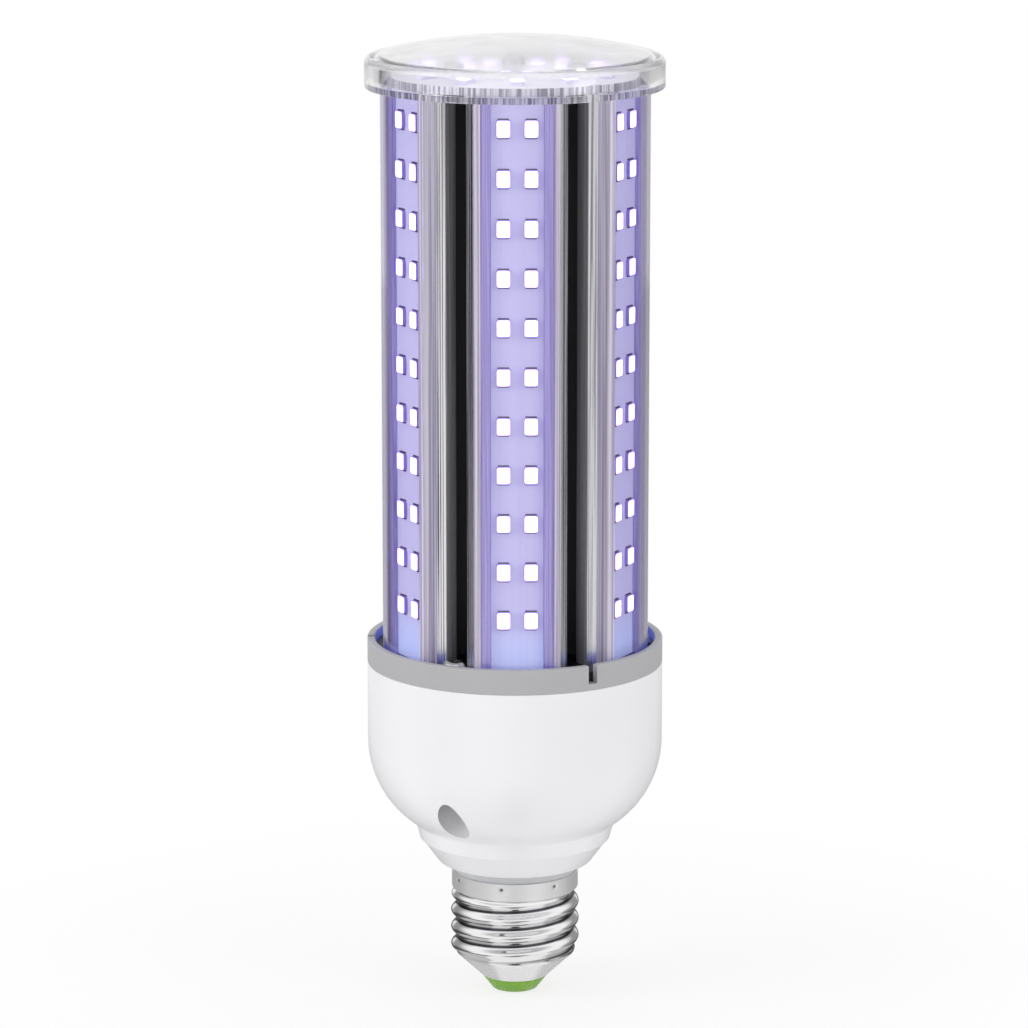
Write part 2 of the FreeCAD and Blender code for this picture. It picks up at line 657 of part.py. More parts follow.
def make_strip_cover(index):
    """Clear arched cover whose lips slide under the rails of one column."""
    body = new_body(f"strip_cover_{index}", strip_turn(index))
    corner_centre = "(Size.cover_half_width - Size.cover_corner_round)"
    corner_reach = "(Size.cover_arch_radius - Size.cover_corner_round)"
    corner_lean = f"({corner_centre} / {corner_reach})"
    corner_cosine = f"sqrt(1 - {corner_lean} ^ 2)"
    corner_foot = f"({ARCH_CENTRE} + {corner_reach} * {corner_cosine})"
    corner_end = f"(Size.cover_arch_radius * {corner_lean})"
    corner_top = f"({ARCH_CENTRE} + Size.cover_arch_radius * {corner_cosine})"
    inner_half = "(Size.cover_half_width - Size.cover_wall)"
    inner_arch = "(Size.cover_arch_radius - Size.cover_wall)"
    inner_eaves = f"({ARCH_CENTRE} + sqrt({inner_arch} ^ 2 - {inner_half} ^ 2))"
    lip_tip = f"({RAIL_INSIDE} + Size.rail_stem_width + Size.fit)"
    lip_top = f"({COVER_FOOT} + Size.cover_lip_height)"
    section = outline(body, "XY_Plane", [
        ("Size.cover_half_width", COVER_FOOT),
        ("Size.cover_half_width", corner_foot),
        (corner_end, corner_top),
        (f"-{corner_end}", corner_top),
        ("-Size.cover_half_width", corner_foot),
        ("-Size.cover_half_width", COVER_FOOT),
        (f"-{lip_tip}", COVER_FOOT),
        (f"-{lip_tip}", lip_top),
        (f"-{inner_half}", lip_top),
        (f"-{inner_half}", inner_eaves),
        (inner_half, inner_eaves),
        (inner_half, lip_top),
        (lip_tip, lip_top),
        (lip_tip, COVER_FOOT)],
        arcs={1: ("Size.cover_corner_round", 1), 2: ("Size.cover_arch_radius", 1),
              3: ("Size.cover_corner_round", 1), 9: (inner_arch, -1)}, lift=PLATE_TOP)
    pad(body, section, COLUMN_LENGTH)
    return keep(body)


def make_top_led_board():
    """Round board screwed on the end of the heat sink."""
    body = new_body("top_led_board")
    disc = circle(body, "XY_Plane", "0", "0", TOP_BOARD_RADIUS, lift=COLUMN_TOP)
    circle(body, "XY_Plane", "0", "0", "Size.top_board_lead_hole", sketch=disc)
    pad(body, disc, "Size.top_board_thickness")
    hole = pocket(body, circle(body, "XY_Plane", "0", TOP_SCREW_CIRCLE, "Size.screw_hole_radius",
                               lift=TOP_BOARD_TOP), "Size.top_board_thickness")
    polar(body, [hole], SCREW_COUNT)
    return keep(body)


def make_top_leds():
    """Two rings of LED packages on the round board, the outer ring turned off the rails."""
    body = new_body("top_leds")
    half_width = "Size.led_width / 2"
    half_length = "Size.led_length / 2"
    for radius, count in (("Size.inner_led_circle", "Size.inner_led_count"),
                          (f"({TOP_BOARD_RADIUS} - Size.outer_led_inset)", "Size.outer_led_count")):
        section = box_outline(body, "XY_Plane", f"({radius} - {half_width})", f"({radius} + {half_width})",
                              f"-{half_length}", half_length, lift=TOP_BOARD_TOP)
        polar(body, [pad(body, section, "Size.led_height")], count)
    return keep(body)


def make_top_cap():
    """Clear moulded cap: slotted skirt round the covers, a shoulder that rests on their ends, a dome."""
    body = new_body("top_cap", HALF_GAP_TURN)
    foot = f"({COLUMN_TOP} - Size.cap_overlap)"
    wall_top = f"({foot} + Size.cap_wall_height)"
    edge_end = f"({CAP_RADIUS} - Size.cap_edge_width)"
    edge_top = f"({wall_top} + Size.cap_edge_rise)"
    dome_centre = f"({edge_top} - sqrt(Size.cap_dome_radius ^ 2 - {edge_end} ^ 2))"
    apex = f"({dome_centre} + Size.cap_dome_radius)"
    shoulder_bore = f"({TOP_BOARD_RADIUS} + Size.cap_board_clearance)"
    ceiling = f"({edge_top} - Size.cap_dome_wall)"
    revolve(body, outline(body, "XZ_Plane", [
        (SKIRT_BORE, foot),
        (CAP_RADIUS, foot),
        (CAP_RADIUS, wall_top),
        (edge_end, edge_top),
        ("0", apex),
        ("0", f"({apex} - Size.cap_dome_wall)"),
        (shoulder_bore, ceiling),
        (shoulder_bore, COLUMN_TOP),
        (SKIRT_BORE, COLUMN_TOP)],
        arcs={3: ("Size.cap_dome_radius", 1)}))
    half = "Size.cap_slot_width / 2"
    opening = box_outline(body, "XY_Plane", f"({shoulder_bore} - Size.cut_margin)",
                          f"({CAP_RADIUS} + Size.cut_margin)", f"-{half}", half, lift=foot)
    slot = pocket(body, opening, "Size.cap_slot_height", up=True)
    polar(body, [slot], SCREW_COUNT)
    return keep(body)


def make_driver_board():
    """Round board held on the boss shoulders, with holes for the three posts."""
    body = new_body("driver_board")
    disc = circle(body, "XY_Plane", "0", "0", DRIVER_RADIUS, lift=DRIVER_FOOT)
    pad(body, disc, "Size.driver_board_thickness")
    post_hole = circle(body, "XY_Plane", BOSS_CIRCLE, "0", "(Size.post_radius + Size.loose_fit)",
                       lift=DRIVER_TOP)
    hole = pocket(body, post_hole, "Size.driver_board_thickness")
    polar(body, [hole], SCREW_COUNT)
    return keep(body)


def make_can(label):
    """A capacitor can that hangs from the driver board."""
    body = new_body(label)
    can = circle(body, "XY_Plane", f"Size.{label}_x", f"Size.{label}_y", f"Size.{label}_radius",
                 lift=DRIVER_FOOT)
    pad(body, can, f"Size.{label}_length", down=True)
    return keep(body)


def make_transformer():
    """Ferrite core as a window frame, and the wound bobbin that fills its window."""
    left = "(Size.transformer_x - Size.core_length / 2)"
    right = "(Size.transformer_x + Size.core_length / 2)"
    foot = f"({DRIVER_FOOT} - Size.core_drop)"

    def block(body, inset, depth):
        """A block centred on the core's own plane, drawn in from the core's outline by an inset."""
        face = box_outline(body, "XZ_Plane", f"({left} + {inset})", f"({right} - {inset})",
                           f"({foot} + {inset})", f"({DRIVER_FOOT} - {inset})",
                           lift=f"({depth} / 2 - Size.transformer_y)")
        return face, depth

    core = new_body("transformer_core")
    pad(core, *block(core, "0", "Size.core_depth"), down=True)
    pocket(core, *block(core, "Size.core_limb", "Size.core_depth"))
    keep(core)
    bobbin = new_body("transformer_winding")
    pad(bobbin, *block(bobbin, "(Size.core_limb + Size.fit)", "Size.winding_depth"), down=True)
    return keep(bobbin)


def make_chip(label, kind):
    """A moulded package of one kind, soldered on the upper face of the driver board."""
    body = new_body(label)
    sides = [f"(Size.{kind}_{place} {way} Size.{kind}_{span} / 2)"
             for place, span in (("x", "length"), ("y", "width")) for way in "-+"]
    pad(body, box_outline(body, "XY_Plane", *sides, lift=DRIVER_TOP), f"Size.{kind}_height")
    return keep(body)


def make_fuse_resistor():
    """A fusible resistor lying under the driver board."""
    body = new_body("fuse_resistor")
    section = circle(body, "YZ_Plane", "Size.fuse_y", f"({DRIVER_FOOT} - Size.fuse_radius)",
                     "Size.fuse_radius", lift="Size.fuse_x")
    pad(body, section, "Size.fuse_length")
    return keep(body)


def make_lead(label, places, foot, top):
    """Insulated leads that run straight up from one level to another."""
    body = new_body(label)
    sketch = new_sketch(body, "XY_Plane", foot)
    for x, y in places:
        circle(body, "XY_Plane", x, y, "Size.lead_radius", sketch=sketch)
    pad(body, sketch, f"{top} - {foot}")
    return keep(body)


make_centre_contact()
make_base_insulator()
make_screw_shell()
make_housing()
make_driver_board()
make_can("input_capacitor")
make_can("output_capacitor")
make_transformer()
make_chip("driver_chip", "chip")
make_chip("bridge_rectifier", "bridge")
make_fuse_resistor()
make_lead("live_lead", [("0", "0")], f"({INSULATOR_FOOT} + Size.contact_stem_length)", DRIVER_FOOT)
make_lead("neutral_lead", [("0", "-Size.neutral_lead_circle")], INSULATOR_TOP, DRIVER_FOOT)
half_spacing = "Size.lead_spacing / 2"
make_lead("output_leads", [(half_spacing, "0"), (f"-{half_spacing}", "0")], DRIVER_TOP, COLUMN_TOP)
make_collar_ring()
make_mounting_plate()
make_screws("plate_screws", BOSS_CIRCLE, PLATE_TOP, "Size.plate_screw_length")
make_heat_sink()
make_screws("foot_screws", "Size.foot_screw_circle", PLATE_FOOT, "Size.foot_screw_length", 90, upward=True)
for column in range(1, int(number("Size.column_count")) + 1):
    make_strip_board(column)
    make_strip_leds(column)
    make_strip_cover(column)
make_top_led_board()
make_top_leds()
make_screws("top_board_screws", TOP_SCREW_CIRCLE, TOP_BOARD_TOP, "Size.board_screw_length", turn=90)
make_top_cap()
doc.recompute()

failed = [item.Label for item in doc.Objects if "Invalid" in item.State or "Error" in item.State]
failed += [piece.Label for piece in parts if piece.Shape.isNull() or not piece.Shape.isValid()]
if failed:
    raise RuntimeError(f"these did not build: {failed}")
os.makedirs("parts", exist_ok=True)
for piece in parts:
    piece.Shape.exportStep(f"parts/{piece.Label}.step")
    print(f"{piece.Label}: {len(piece.Shape.Solids)} solids, {piece.Shape.Volume:.1f} cubic millimetres")
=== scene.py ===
"""LED corn lamp with an E27 screw cap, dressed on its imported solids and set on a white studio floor."""
import bmesh
import bpy
import math
from mathutils import Euler, Matrix, Vector


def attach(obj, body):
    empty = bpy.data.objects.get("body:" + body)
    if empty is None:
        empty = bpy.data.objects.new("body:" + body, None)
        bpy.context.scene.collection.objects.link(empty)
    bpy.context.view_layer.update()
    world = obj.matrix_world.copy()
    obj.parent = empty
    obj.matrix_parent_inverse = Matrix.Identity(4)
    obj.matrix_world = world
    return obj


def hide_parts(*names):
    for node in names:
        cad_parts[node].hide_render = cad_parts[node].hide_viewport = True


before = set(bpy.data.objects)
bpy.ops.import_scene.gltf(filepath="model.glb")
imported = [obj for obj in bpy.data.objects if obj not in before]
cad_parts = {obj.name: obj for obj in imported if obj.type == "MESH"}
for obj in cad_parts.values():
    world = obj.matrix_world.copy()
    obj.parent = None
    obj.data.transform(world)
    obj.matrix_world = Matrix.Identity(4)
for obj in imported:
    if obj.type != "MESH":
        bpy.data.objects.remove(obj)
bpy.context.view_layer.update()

# Centre contact: a nickelled brass disc on the insulator's tip, with a low pillow of solder in its middle.
# It is turned, then pressed on, and the holder's tongue scuffs it.
MM = 0.001
FINE_RING = 192
SHARP_EDGE = 35
TOUCHING = 1e-7
SMOOTH = "MapRange SMOOTHSTEP"
CONTACT_RADIUS = 3.2
CONTACT_RISE = 0.4
CONTACT_STEM = 0.9
CONTACT_TOP = 7.6


def linear(colour):
    """An sRGB hex value as the linear colour that a shader's socket takes."""
    channels = [int(colour[i:i + 2], 16) / 255 for i in (1, 3, 5)]
    return [c / 12.92 if c <= 0.04045 else ((c + 0.055) / 1.055) ** 2.4 for c in channels] + [1.0]


def add(tree, kind, settings=None, inputs=None):
    """Adds one node with its settings; each input takes a plain value, a socket, or a node for its first output."""
    node = tree.nodes.new(kind)
    for name, value in (settings or {}).items():
        setattr(node, name, value)
    for name, value in (inputs or {}).items():
        if isinstance(value, bpy.types.Node):
            value = value.outputs[0]
        if isinstance(value, bpy.types.NodeSocket):
            tree.links.new(value, node.inputs[name])
        else:
            node.inputs[name].default_value = value
    return node


def wire(tree, kind, *inputs):
    """The first output of a node with a mode, such as "Math ADD", that is added with its inputs in their order."""
    kind, mode = kind.split()
    setting = "interpolation_type" if kind == "MapRange" else "operation"
    return add(tree, f"ShaderNode{kind}", {setting: mode}, dict(enumerate(inputs))).outputs[0]


def new_material(name, values):
    """A material with one Principled shader that holds these plain values."""
    material = bpy.data.materials.new(name)
    material.use_nodes = True
    shader = material.node_tree.nodes["Principled BSDF"]
    for socket, value in values.items():
        shader.inputs[socket].default_value = value
    return material, material.node_tree, shader


def grain(tree, shader, sizes, rough, relief, detail=3.0):
    """Noise of a real size in mm along x, y and z, which varies the roughness and lifts the skin."""
    place = add(tree, "ShaderNodeTexCoord").outputs["Object"]
    scaled = add(tree, "ShaderNodeMapping", inputs={"Vector": place, "Scale": [1 / (MM * size) for size in sizes]})
    noise = add(tree, "ShaderNodeTexNoise", inputs={"Vector": scaled, "Scale": 1.0, "Detail": detail})
    varied = add(tree, "ShaderNodeMapRange", inputs={"Value": noise.outputs["Fac"], "From Min": 0.3, "From Max": 0.7,
                                                     "To Min": rough[0], "To Max": rough[1]})
    tree.links.new(varied.outputs["Result"], shader.inputs["Roughness"])
    if relief:
        bump = add(tree, "ShaderNodeBump", inputs={"Height": noise.outputs["Fac"], "Distance": relief * MM,
                                                   "Strength": 1.0})
        tree.links.new(bump.outputs["Normal"], shader.inputs["Normal"])
    return noise.outputs["Fac"]


def tint(tree, shader, factor, dark, light):
    """Lets a pattern move the colour between two shades."""
    mix = add(tree, "ShaderNodeMix", {"data_type": "RGBA"}, {"Factor": factor, 6: linear(dark), 7: linear(light)})
    tree.links.new(mix.outputs[2], shader.inputs["Base Color"])


def grained(name, values, sizes, rough, relief, shades=None, detail=3.0, span=None):
    """A material with a grain, which moves its colour between two shades too, over a span of the grain if given."""
    material, tree, shader = new_material(name, values)
    pattern = grain(tree, shader, sizes, rough, relief, detail)
    if span:
        pattern = wire(tree, SMOOTH, pattern, *span, 0.0, 1.0)
    if shades:
        tint(tree, shader, pattern, *shades)
    return material


def soften(corners, steps=4):
    """Rounds the corners of a closed outline: a corner with a third number has that radius."""
    points = []
    for index, corner in enumerate(corners):
        here = Vector(corner[:2])
        if len(corner) == 2:
            points.append(tuple(here))
            continue
        back = (Vector(corners[index - 1][:2]) - here).normalized()
        ahead = (Vector(corners[(index + 1) % len(corners)][:2]) - here).normalized()
        half = back.angle(ahead) / 2
        middle = here + (back + ahead).normalized() * corner[2] / math.sin(half)
        run = corner[2] / math.tan(half)
        start, end = here + back * run - middle, here + ahead * run - middle
        turn = start.angle_signed(end)
        for step in range(steps + 1):
            angle = -turn * step / steps
            spoke = Matrix.Rotation(angle, 2) @ start
            points.append(tuple(middle + spoke))
    return points


def arc(centre, radius, start, end, steps):
    """Points along an arc in an outline, between two angles in degrees, both ends included."""
    angles = [math.radians(start + (end - start) * step / steps) for step in range(steps + 1)]
    return [(centre[0] + radius * math.cos(a), centre[1] + radius * math.sin(a)) for a in angles]


def as_piece(name, builder):
    """An object at the origin that holds what a bmesh has built."""
    mesh = bpy.data.meshes.new(name)
    builder.to_mesh(mesh)
    builder.free()
    piece = bpy.data.objects.new(name, mesh)
    bpy.context.scene.collection.objects.link(piece)
    return piece


def smooth(piece):
    """Shades a piece smooth, apart from its sharp edges."""
    piece.data.shade_smooth()
    piece.data.set_sharp_from_angle(angle=math.radians(SHARP_EDGE))
    return piece


def new_piece(name, builder):
    """A smooth piece made from a bmesh, with its seams closed and its faces outwards."""
    bmesh.ops.remove_doubles(builder, verts=builder.verts, dist=TOUCHING)
    bmesh.ops.recalc_face_normals(builder, faces=builder.faces)
    return smooth(as_piece(name, builder))


def turned(name, outline, segments=FINE_RING):
    """A solid of revolution: a closed outline of radius and height in mm, turned round the lamp's axis."""
    builder = bmesh.new()
    turns = [math.tau * step / segments for step in range(segments)]
    rings = [[builder.verts.new((radius * MM * math.cos(t), radius * MM * math.sin(t), height * MM)) for t in turns]
             for radius, height in outline]
    for ring, following in zip(rings, rings[1:] + rings[:1]):
        for step in range(segments):
            after = (step + 1) % segments
            builder.faces.new((ring[step], ring[after], following[after], following[step]))
    bmesh.ops.dissolve_degenerate(builder, dist=TOUCHING, edges=builder.edges)
    return new_piece(name, builder)


def dress(piece, material, slot, *nodes):
    """Finishes a new piece: its material, the body it rides on and the solids it stands for; the slot it is given is
    not used.
    """
    if material:
        piece.data.materials.clear()
        piece.data.materials.append(material)
    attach(piece, "root")
    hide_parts(*nodes)
    return piece


# Nickelled brass, satin from turning, with fine scuffs that spread its highlights
contact_metal = grained("nickelled_brass", {"Base Color": linear("#C9B58A"), "Metallic": 1.0}, (0.25, 0.25, 0.25),
                        (0.22, 0.42), 0.01)
contact = turned("contact_disc", soften([
    (0, 0.12), (1.2, 0.12, 0.5), (1.7, 0, 0.4), (CONTACT_RADIUS, 0, 0.15), (CONTACT_RADIUS, CONTACT_RISE),
    (CONTACT_STEM, CONTACT_RISE), (CONTACT_STEM, CONTACT_TOP), (0, CONTACT_TOP)]), 64)
dress(contact, contact_metal, "contact_brass", "centre_contact")

# Base insulator: a pressed cone of green glass that closes the foot of the shell and carries the contact.
# The melt is poured into the shell, so its outside is smooth and glossy and its rim runs into the metal.
INSULATOR_TIP = 4.6
INSULATOR_RIM = 6.9
RIM_LEVEL = 3.4
SHELL_SLOPE = 5.15 / 4.9
SHELL_LAP, PLUG_RISE, PLUG_BORE = 0.62, 3.5, 1.0
insulator_seat = INSULATOR_RIM - SHELL_LAP
insulator_top = RIM_LEVEL + PLUG_RISE

# Pressed glass: glossy, with soft clouds, and light goes a millimetre or two into it
green_glass = grained("green_pressed_glass", {
    "IOR": 1.52, "Subsurface Weight": 0.15, "Subsurface Radius": (0.001, 0.002, 0.0005)},
    (2.5, 2.5, 2.5), (0.12, 0.26), 0.02, ("#74AA1F", "#88BF31"))
insulator = turned("insulator_cone", soften([
    (PLUG_BORE, CONTACT_RISE), (INSULATOR_TIP, CONTACT_RISE, 0.5), (INSULATOR_RIM, RIM_LEVEL, 0.2),
    (insulator_seat, RIM_LEVEL), (insulator_seat + PLUG_RISE * SHELL_SLOPE, insulator_top),
    (PLUG_BORE, insulator_top)]))
dress(insulator, green_glass, "insulator_green", "base_insulator")

# Screw shell: nickel-plated brass sheet, rolled to the round E27 thread and dented over the housing's spigot.
# One rule gives its skin: a cone, a wave that climbs one pitch a turn, and a plain collar with seven dents.
shell_sizes = {
    "Foot": RIM_LEVEL, "Height": 22.45, "Foot Radius": 6.9, "Root Radius": 12.05, "Collar Radius": 12.95,
    "Cone Top": 8.3, "Collar Foot": 21.7, "Flare": 0.7, "Thread Depth": 1.1, "Pitch": 3.629, "First Crest": 9.8,
    "Dent Level": 24.65, "Dent Radius": 0.95, "Dent Depth": 0.28, "Dent Turn": 103.5}
SHELL_WALL = 0.35
ROWS_UP, STEPS_ROUND = 120, 240
DENTS = 7
RUN_IN, RUN_OUT = (7.9, 9.7), (20.2, 21.9)
ROOT_SHADE_IN, ROOT_SHADE_OUT = (8.3, 9.7), (20.2, 21.7)
CONE_EDGE, COLLAR_EDGE = (7.6, 8.6), (21.5, 22.3)
SEAM = 1e-6


def new_group(name, sizes):
    """A Geometry Nodes group that takes a mesh, a material and named sizes in mm or counts."""
    group = bpy.data.node_groups.new(name, "GeometryNodeTree")
    group.interface.new_socket("Geometry", in_out="INPUT", socket_type="NodeSocketGeometry")
    group.interface.new_socket("Material", in_out="INPUT", socket_type="NodeSocketMaterial")
    for size, value in sizes.items():
        kind = "NodeSocketInt" if isinstance(value, int) else "NodeSocketFloat"
        group.interface.new_socket(size, in_out="INPUT", socket_type=kind)
    group.interface.new_socket("Geometry", in_out="OUTPUT", socket_type="NodeSocketGeometry")
    return group, add(group, "NodeGroupInput").outputs


def end_group(group, geometry, material, marked=()):
    """Ends a group: instances made real, the material set, and other materials on the faces that bear a mark."""
    real = add(group, "GeometryNodeRealizeInstances", inputs={"Geometry": geometry})
    clad = add(group, "GeometryNodeSetMaterial", inputs={"Geometry": real, "Material": material})
    for mark, other in marked:
        chosen = add(group, "GeometryNodeInputNamedAttribute", {"data_type": "BOOLEAN"}, {"Name": mark})
        clad = add(group, "GeometryNodeSetMaterial", inputs={
            "Geometry": clad, "Selection": chosen, "Material": other})
    add(group, "NodeGroupOutput", inputs={"Geometry": clad})


def settle(piece):
    """Keeps what a piece's modifiers give as its own plain mesh."""
    graph = bpy.context.evaluated_depsgraph_get()
    mesh = bpy.data.meshes.new_from_object(piece.evaluated_get(graph), depsgraph=graph)
    piece.modifiers.clear()
    piece.data = mesh
    mesh.name = piece.name
    return smooth(piece)


def grown(piece, group, material, sizes, wall=None):
    """Runs a group on a piece with these sizes and keeps the result as the piece's own plain mesh."""
    modifier = piece.modifiers.new("growth", "NODES")
    modifier.node_group = group
    for item in group.interface.items_tree:
        if item.in_out == "INPUT" and item.name in sizes:
            modifier[item.identifier] = sizes[item.name]
        elif item.in_out == "INPUT" and item.name == "Material":
            modifier[item.identifier] = material
    if wall:
        thick = piece.modifiers.new("sheet", "SOLIDIFY")
        thick.thickness = wall * MM
        thick.offset = -1
    return settle(piece)


def about_axis(group, radius, bearing, level):
    """A place in metres, from a distance and a bearing about the lamp's axis and a level, in mm and radians."""
    spot = add(group, "ShaderNodeCombineXYZ", inputs={
        0: wire(group, "Math MULTIPLY", radius, wire(group, "Math COSINE", bearing)),
        1: wire(group, "Math MULTIPLY", radius, wire(group, "Math SINE", bearing)), 2: level})
    return add(group, "ShaderNodeVectorMath", {"operation": "SCALE"}, {0: spot, "Scale": MM})


def steps_of(tree, *steps):
    """The product of smooth steps, each of a value, between two places, from one level to another."""
    product = wire(tree, SMOOTH, *steps[0])
    for step in steps[1:]:
        product = wire(tree, "Math MULTIPLY", product, wire(tree, SMOOTH, *step))
    return product


def from_dent(group, angle, height, start, radius, level):
    """How far a spot on the collar is from the middle of the nearest dent."""
    turn = wire(group, "Math ADD", angle, wire(group, "Math RADIANS", start))
    nearest = wire(group, "Math WRAP", turn, math.pi / DENTS, -math.pi / DENTS)
    across = wire(group, "Math MULTIPLY", nearest, radius)
    above = wire(group, "Math SUBTRACT", height, level)
    squares = [wire(group, "Math MULTIPLY", part, part) for part in (across, above)]
    return wire(group, "Math SQRT", wire(group, "Math ADD", *squares))


group, size = new_group("rolled_thread", shell_sizes)
sheet = add(group, "GeometryNodeMeshGrid", inputs={"Size X": 1.0, "Size Y": 1.0, "Vertices X": STEPS_ROUND + 1,
                                                   "Vertices Y": ROWS_UP + 1})
spot = add(group, "ShaderNodeSeparateXYZ", inputs={0: add(group, "GeometryNodeInputPosition")})
angle = wire(group, "Math MULTIPLY", wire(group, "Math ADD", spot.outputs[0], 0.5), math.tau)
height = wire(group, "Math MULTIPLY_ADD", wire(group, "Math ADD", spot.outputs[1], 0.5), size["Height"], size["Foot"])
cone = add(group, "ShaderNodeMapRange", inputs={
    "Value": height, "From Min": size["Foot"], "From Max": size["Cone Top"], "To Min": size["Foot Radius"],
    "To Max": size["Root Radius"]})
flare_top = wire(group, "Math ADD", size["Collar Foot"], size["Flare"])
flare = wire(group, SMOOTH, height, size["Collar Foot"], flare_top, 0.0,
             wire(group, "Math SUBTRACT", size["Collar Radius"], size["Root Radius"]))
climb = wire(group, "Math DIVIDE", wire(group, "Math SUBTRACT", height, size["First Crest"]), size["Pitch"])
phase = wire(group, "Math SUBTRACT", wire(group, "Math MULTIPLY", climb, math.tau),
             wire(group, "Math SUBTRACT", angle, math.pi))
wave = wire(group, "Math MULTIPLY_ADD", wire(group, "Math COSINE", phase), 0.5, 0.5)
rise = steps_of(group, (height, *RUN_IN, 0.0, 1.0), (height, *RUN_OUT, 1.0, 0.0))
thread = wire(group, "Math MULTIPLY", wire(group, "Math MULTIPLY", wave, rise), size["Thread Depth"])
apart = from_dent(group, angle, height, size["Dent Turn"], size["Collar Radius"], size["Dent Level"])
dent = wire(group, SMOOTH, apart, 0.0, size["Dent Radius"], size["Dent Depth"], 0.0)
radius = wire(group, "Math SUBTRACT", wire(group, "Math ADD", wire(group, "Math ADD", cone, flare), thread), dent)
rolled = add(group, "GeometryNodeSetPosition", inputs={
    "Geometry": sheet, "Position": about_axis(group, radius, angle, height)})
closed = add(group, "GeometryNodeMergeByDistance", inputs={"Geometry": rolled, "Distance": SEAM})
end_group(group, closed, size["Material"])

# Bright nickel over rolled brass: faint lines run round the sheet, which draw the highlights out sideways.
# The roots of the thread and the dents are greyed with painted shade, and the cone and the collar are brushed to a
# pale satin.
nickel, tree, shader = new_material("bright_nickel_plate", {})
grain(tree, shader, (6.0, 6.0, 0.3), (0.04, 0.12), 0.003)
x, y, z = add(tree, "ShaderNodeSeparateXYZ", inputs={0: add(tree, "ShaderNodeTexCoord").outputs["Object"]}).outputs
height = wire(tree, "Math DIVIDE", z, MM)
angle = wire(tree, "Math ARCTAN2", y, x)
climb = wire(tree, "Math DIVIDE", wire(tree, "Math SUBTRACT", height, shell_sizes["First Crest"]),
             shell_sizes["Pitch"])
root = wire(tree, "Math COSINE", wire(tree, "Math SUBTRACT", wire(tree, "Math MULTIPLY", climb, math.tau), angle))
apart = from_dent(tree, angle, height, *(shell_sizes[key] for key in ("Dent Turn", "Collar Radius", "Dent Level")))
# Painted shade: grey in the roots of the thread and in the middles of the dents
root_shade = steps_of(tree, (height, *ROOT_SHADE_IN, 0.0, 1.0), (height, *ROOT_SHADE_OUT, 1.0, 0.0), (root, 0.7, 0.97, 0.0, 1.0))
root_shade = wire(tree, "Math MAXIMUM", root_shade, wire(tree, SMOOTH, apart, 0.15, 0.55, 0.9, 0.0))
tint(tree, shader, root_shade, "#E6E5E6", "#4E4D52")
brushed = wire(tree, "Math ADD", wire(tree, SMOOTH, height, *COLLAR_EDGE, 0.0, 0.36),
               wire(tree, SMOOTH, height, *CONE_EDGE, 0.2, 0.0))
rough = shader.inputs["Roughness"]
tree.links.new(wire(tree, "Math ADD", rough.links[0].from_socket, brushed), rough)
metal = wire(tree, "Math MINIMUM", wire(tree, SMOOTH, height, *COLLAR_EDGE, 1.0, 0.6),
             wire(tree, SMOOTH, height, *CONE_EDGE, 0.6, 1.0))
tree.links.new(metal, shader.inputs["Metallic"])
shell = grown(new_piece("threaded_shell", bmesh.new()), group, nickel, shell_sizes, SHELL_WALL)
dress(shell, None, "nickel_plate", "screw_shell")

# Housing: a bowl moulded in white polycarbonate, with a banded neck and a spigot that the shell is dented onto.
# Three screw pockets are cored up into the bowl, and bosses inside carry the driver and the plate.
BODY_RADIUS = 30.0
NECK_FOOT, NECK_BAND, CREASE = 28.0, 32.9, 36.4
NECK_RADIUS, BAND_RADIUS, CREASE_RADIUS = 15.6, 19.2, 20.4
BAND_STEP = 0.25
BOWL_RADIUS = 20.5
bowl_axis = BODY_RADIUS - BOWL_RADIUS
BOWL_MIDDLE = (bowl_axis, CREASE + math.sqrt(BOWL_RADIUS ** 2 - (CREASE_RADIUS - bowl_axis) ** 2))
HOUSING_TOP = BOWL_MIDDLE[1] + 16.2
WALL = 1.8
BOSS_CIRCLE = 25.2
POCKET_CIRCLE, POCKET_RADIUS, BOSS_RADIUS = 25.4, 3.15, 4.0
POCKET_TOP = HOUSING_TOP - 13.75
SPIGOT_RADIUS, SPIGOT_BORE, SPIGOT_DEEP = 12.5, 10.4, 5.3


def cut(piece, tools):
    """Cuts tools from a piece, keeps the result as its plain mesh and clears the tools away."""
    for tool in tools:
        step = piece.modifiers.new("cut", "BOOLEAN")
        step.object = tool
        step.operation = "DIFFERENCE"
        step.solver = "EXACT"
    settle(piece)
    for tool in tools:
        bpy.data.objects.remove(tool)


def upright(name, radius, foot, top, place, segments=48):
    """A round tool between two levels, its axis at a distance and an angle in degrees from the lamp's axis."""
    tool = turned(name, [(0, foot), (radius, foot), (radius, top), (0, top)], segments)
    distance, bearing = place
    tool.data.transform(Matrix.Rotation(math.radians(bearing), 4, "Z") @ Matrix.Translation((distance * MM, 0, 0)))
    return tool


def paint(piece, material, zone):
    """Gives another material to the faces of a piece that are in a zone."""
    piece.data.materials.append(material)
    for face in piece.data.polygons:
        if zone(face):
            face.material_index = len(piece.data.materials) - 1


def reach(face):
    """How far a face's middle is from the lamp's axis, in mm."""
    return face.center.xy.length / MM


def in_pocket(face):
    """Whether a face is the wall or the roof of a screw pocket."""
    apart = min((face.center.xy / MM - pocket).length for pocket in pockets)
    upright_or_roof = abs(face.normal.z) < 0.05 or face.normal.z < -0.9
    return apart < POCKET_RADIUS + 0.02 and face.center.z < (POCKET_TOP + 0.05) * MM and upright_or_roof


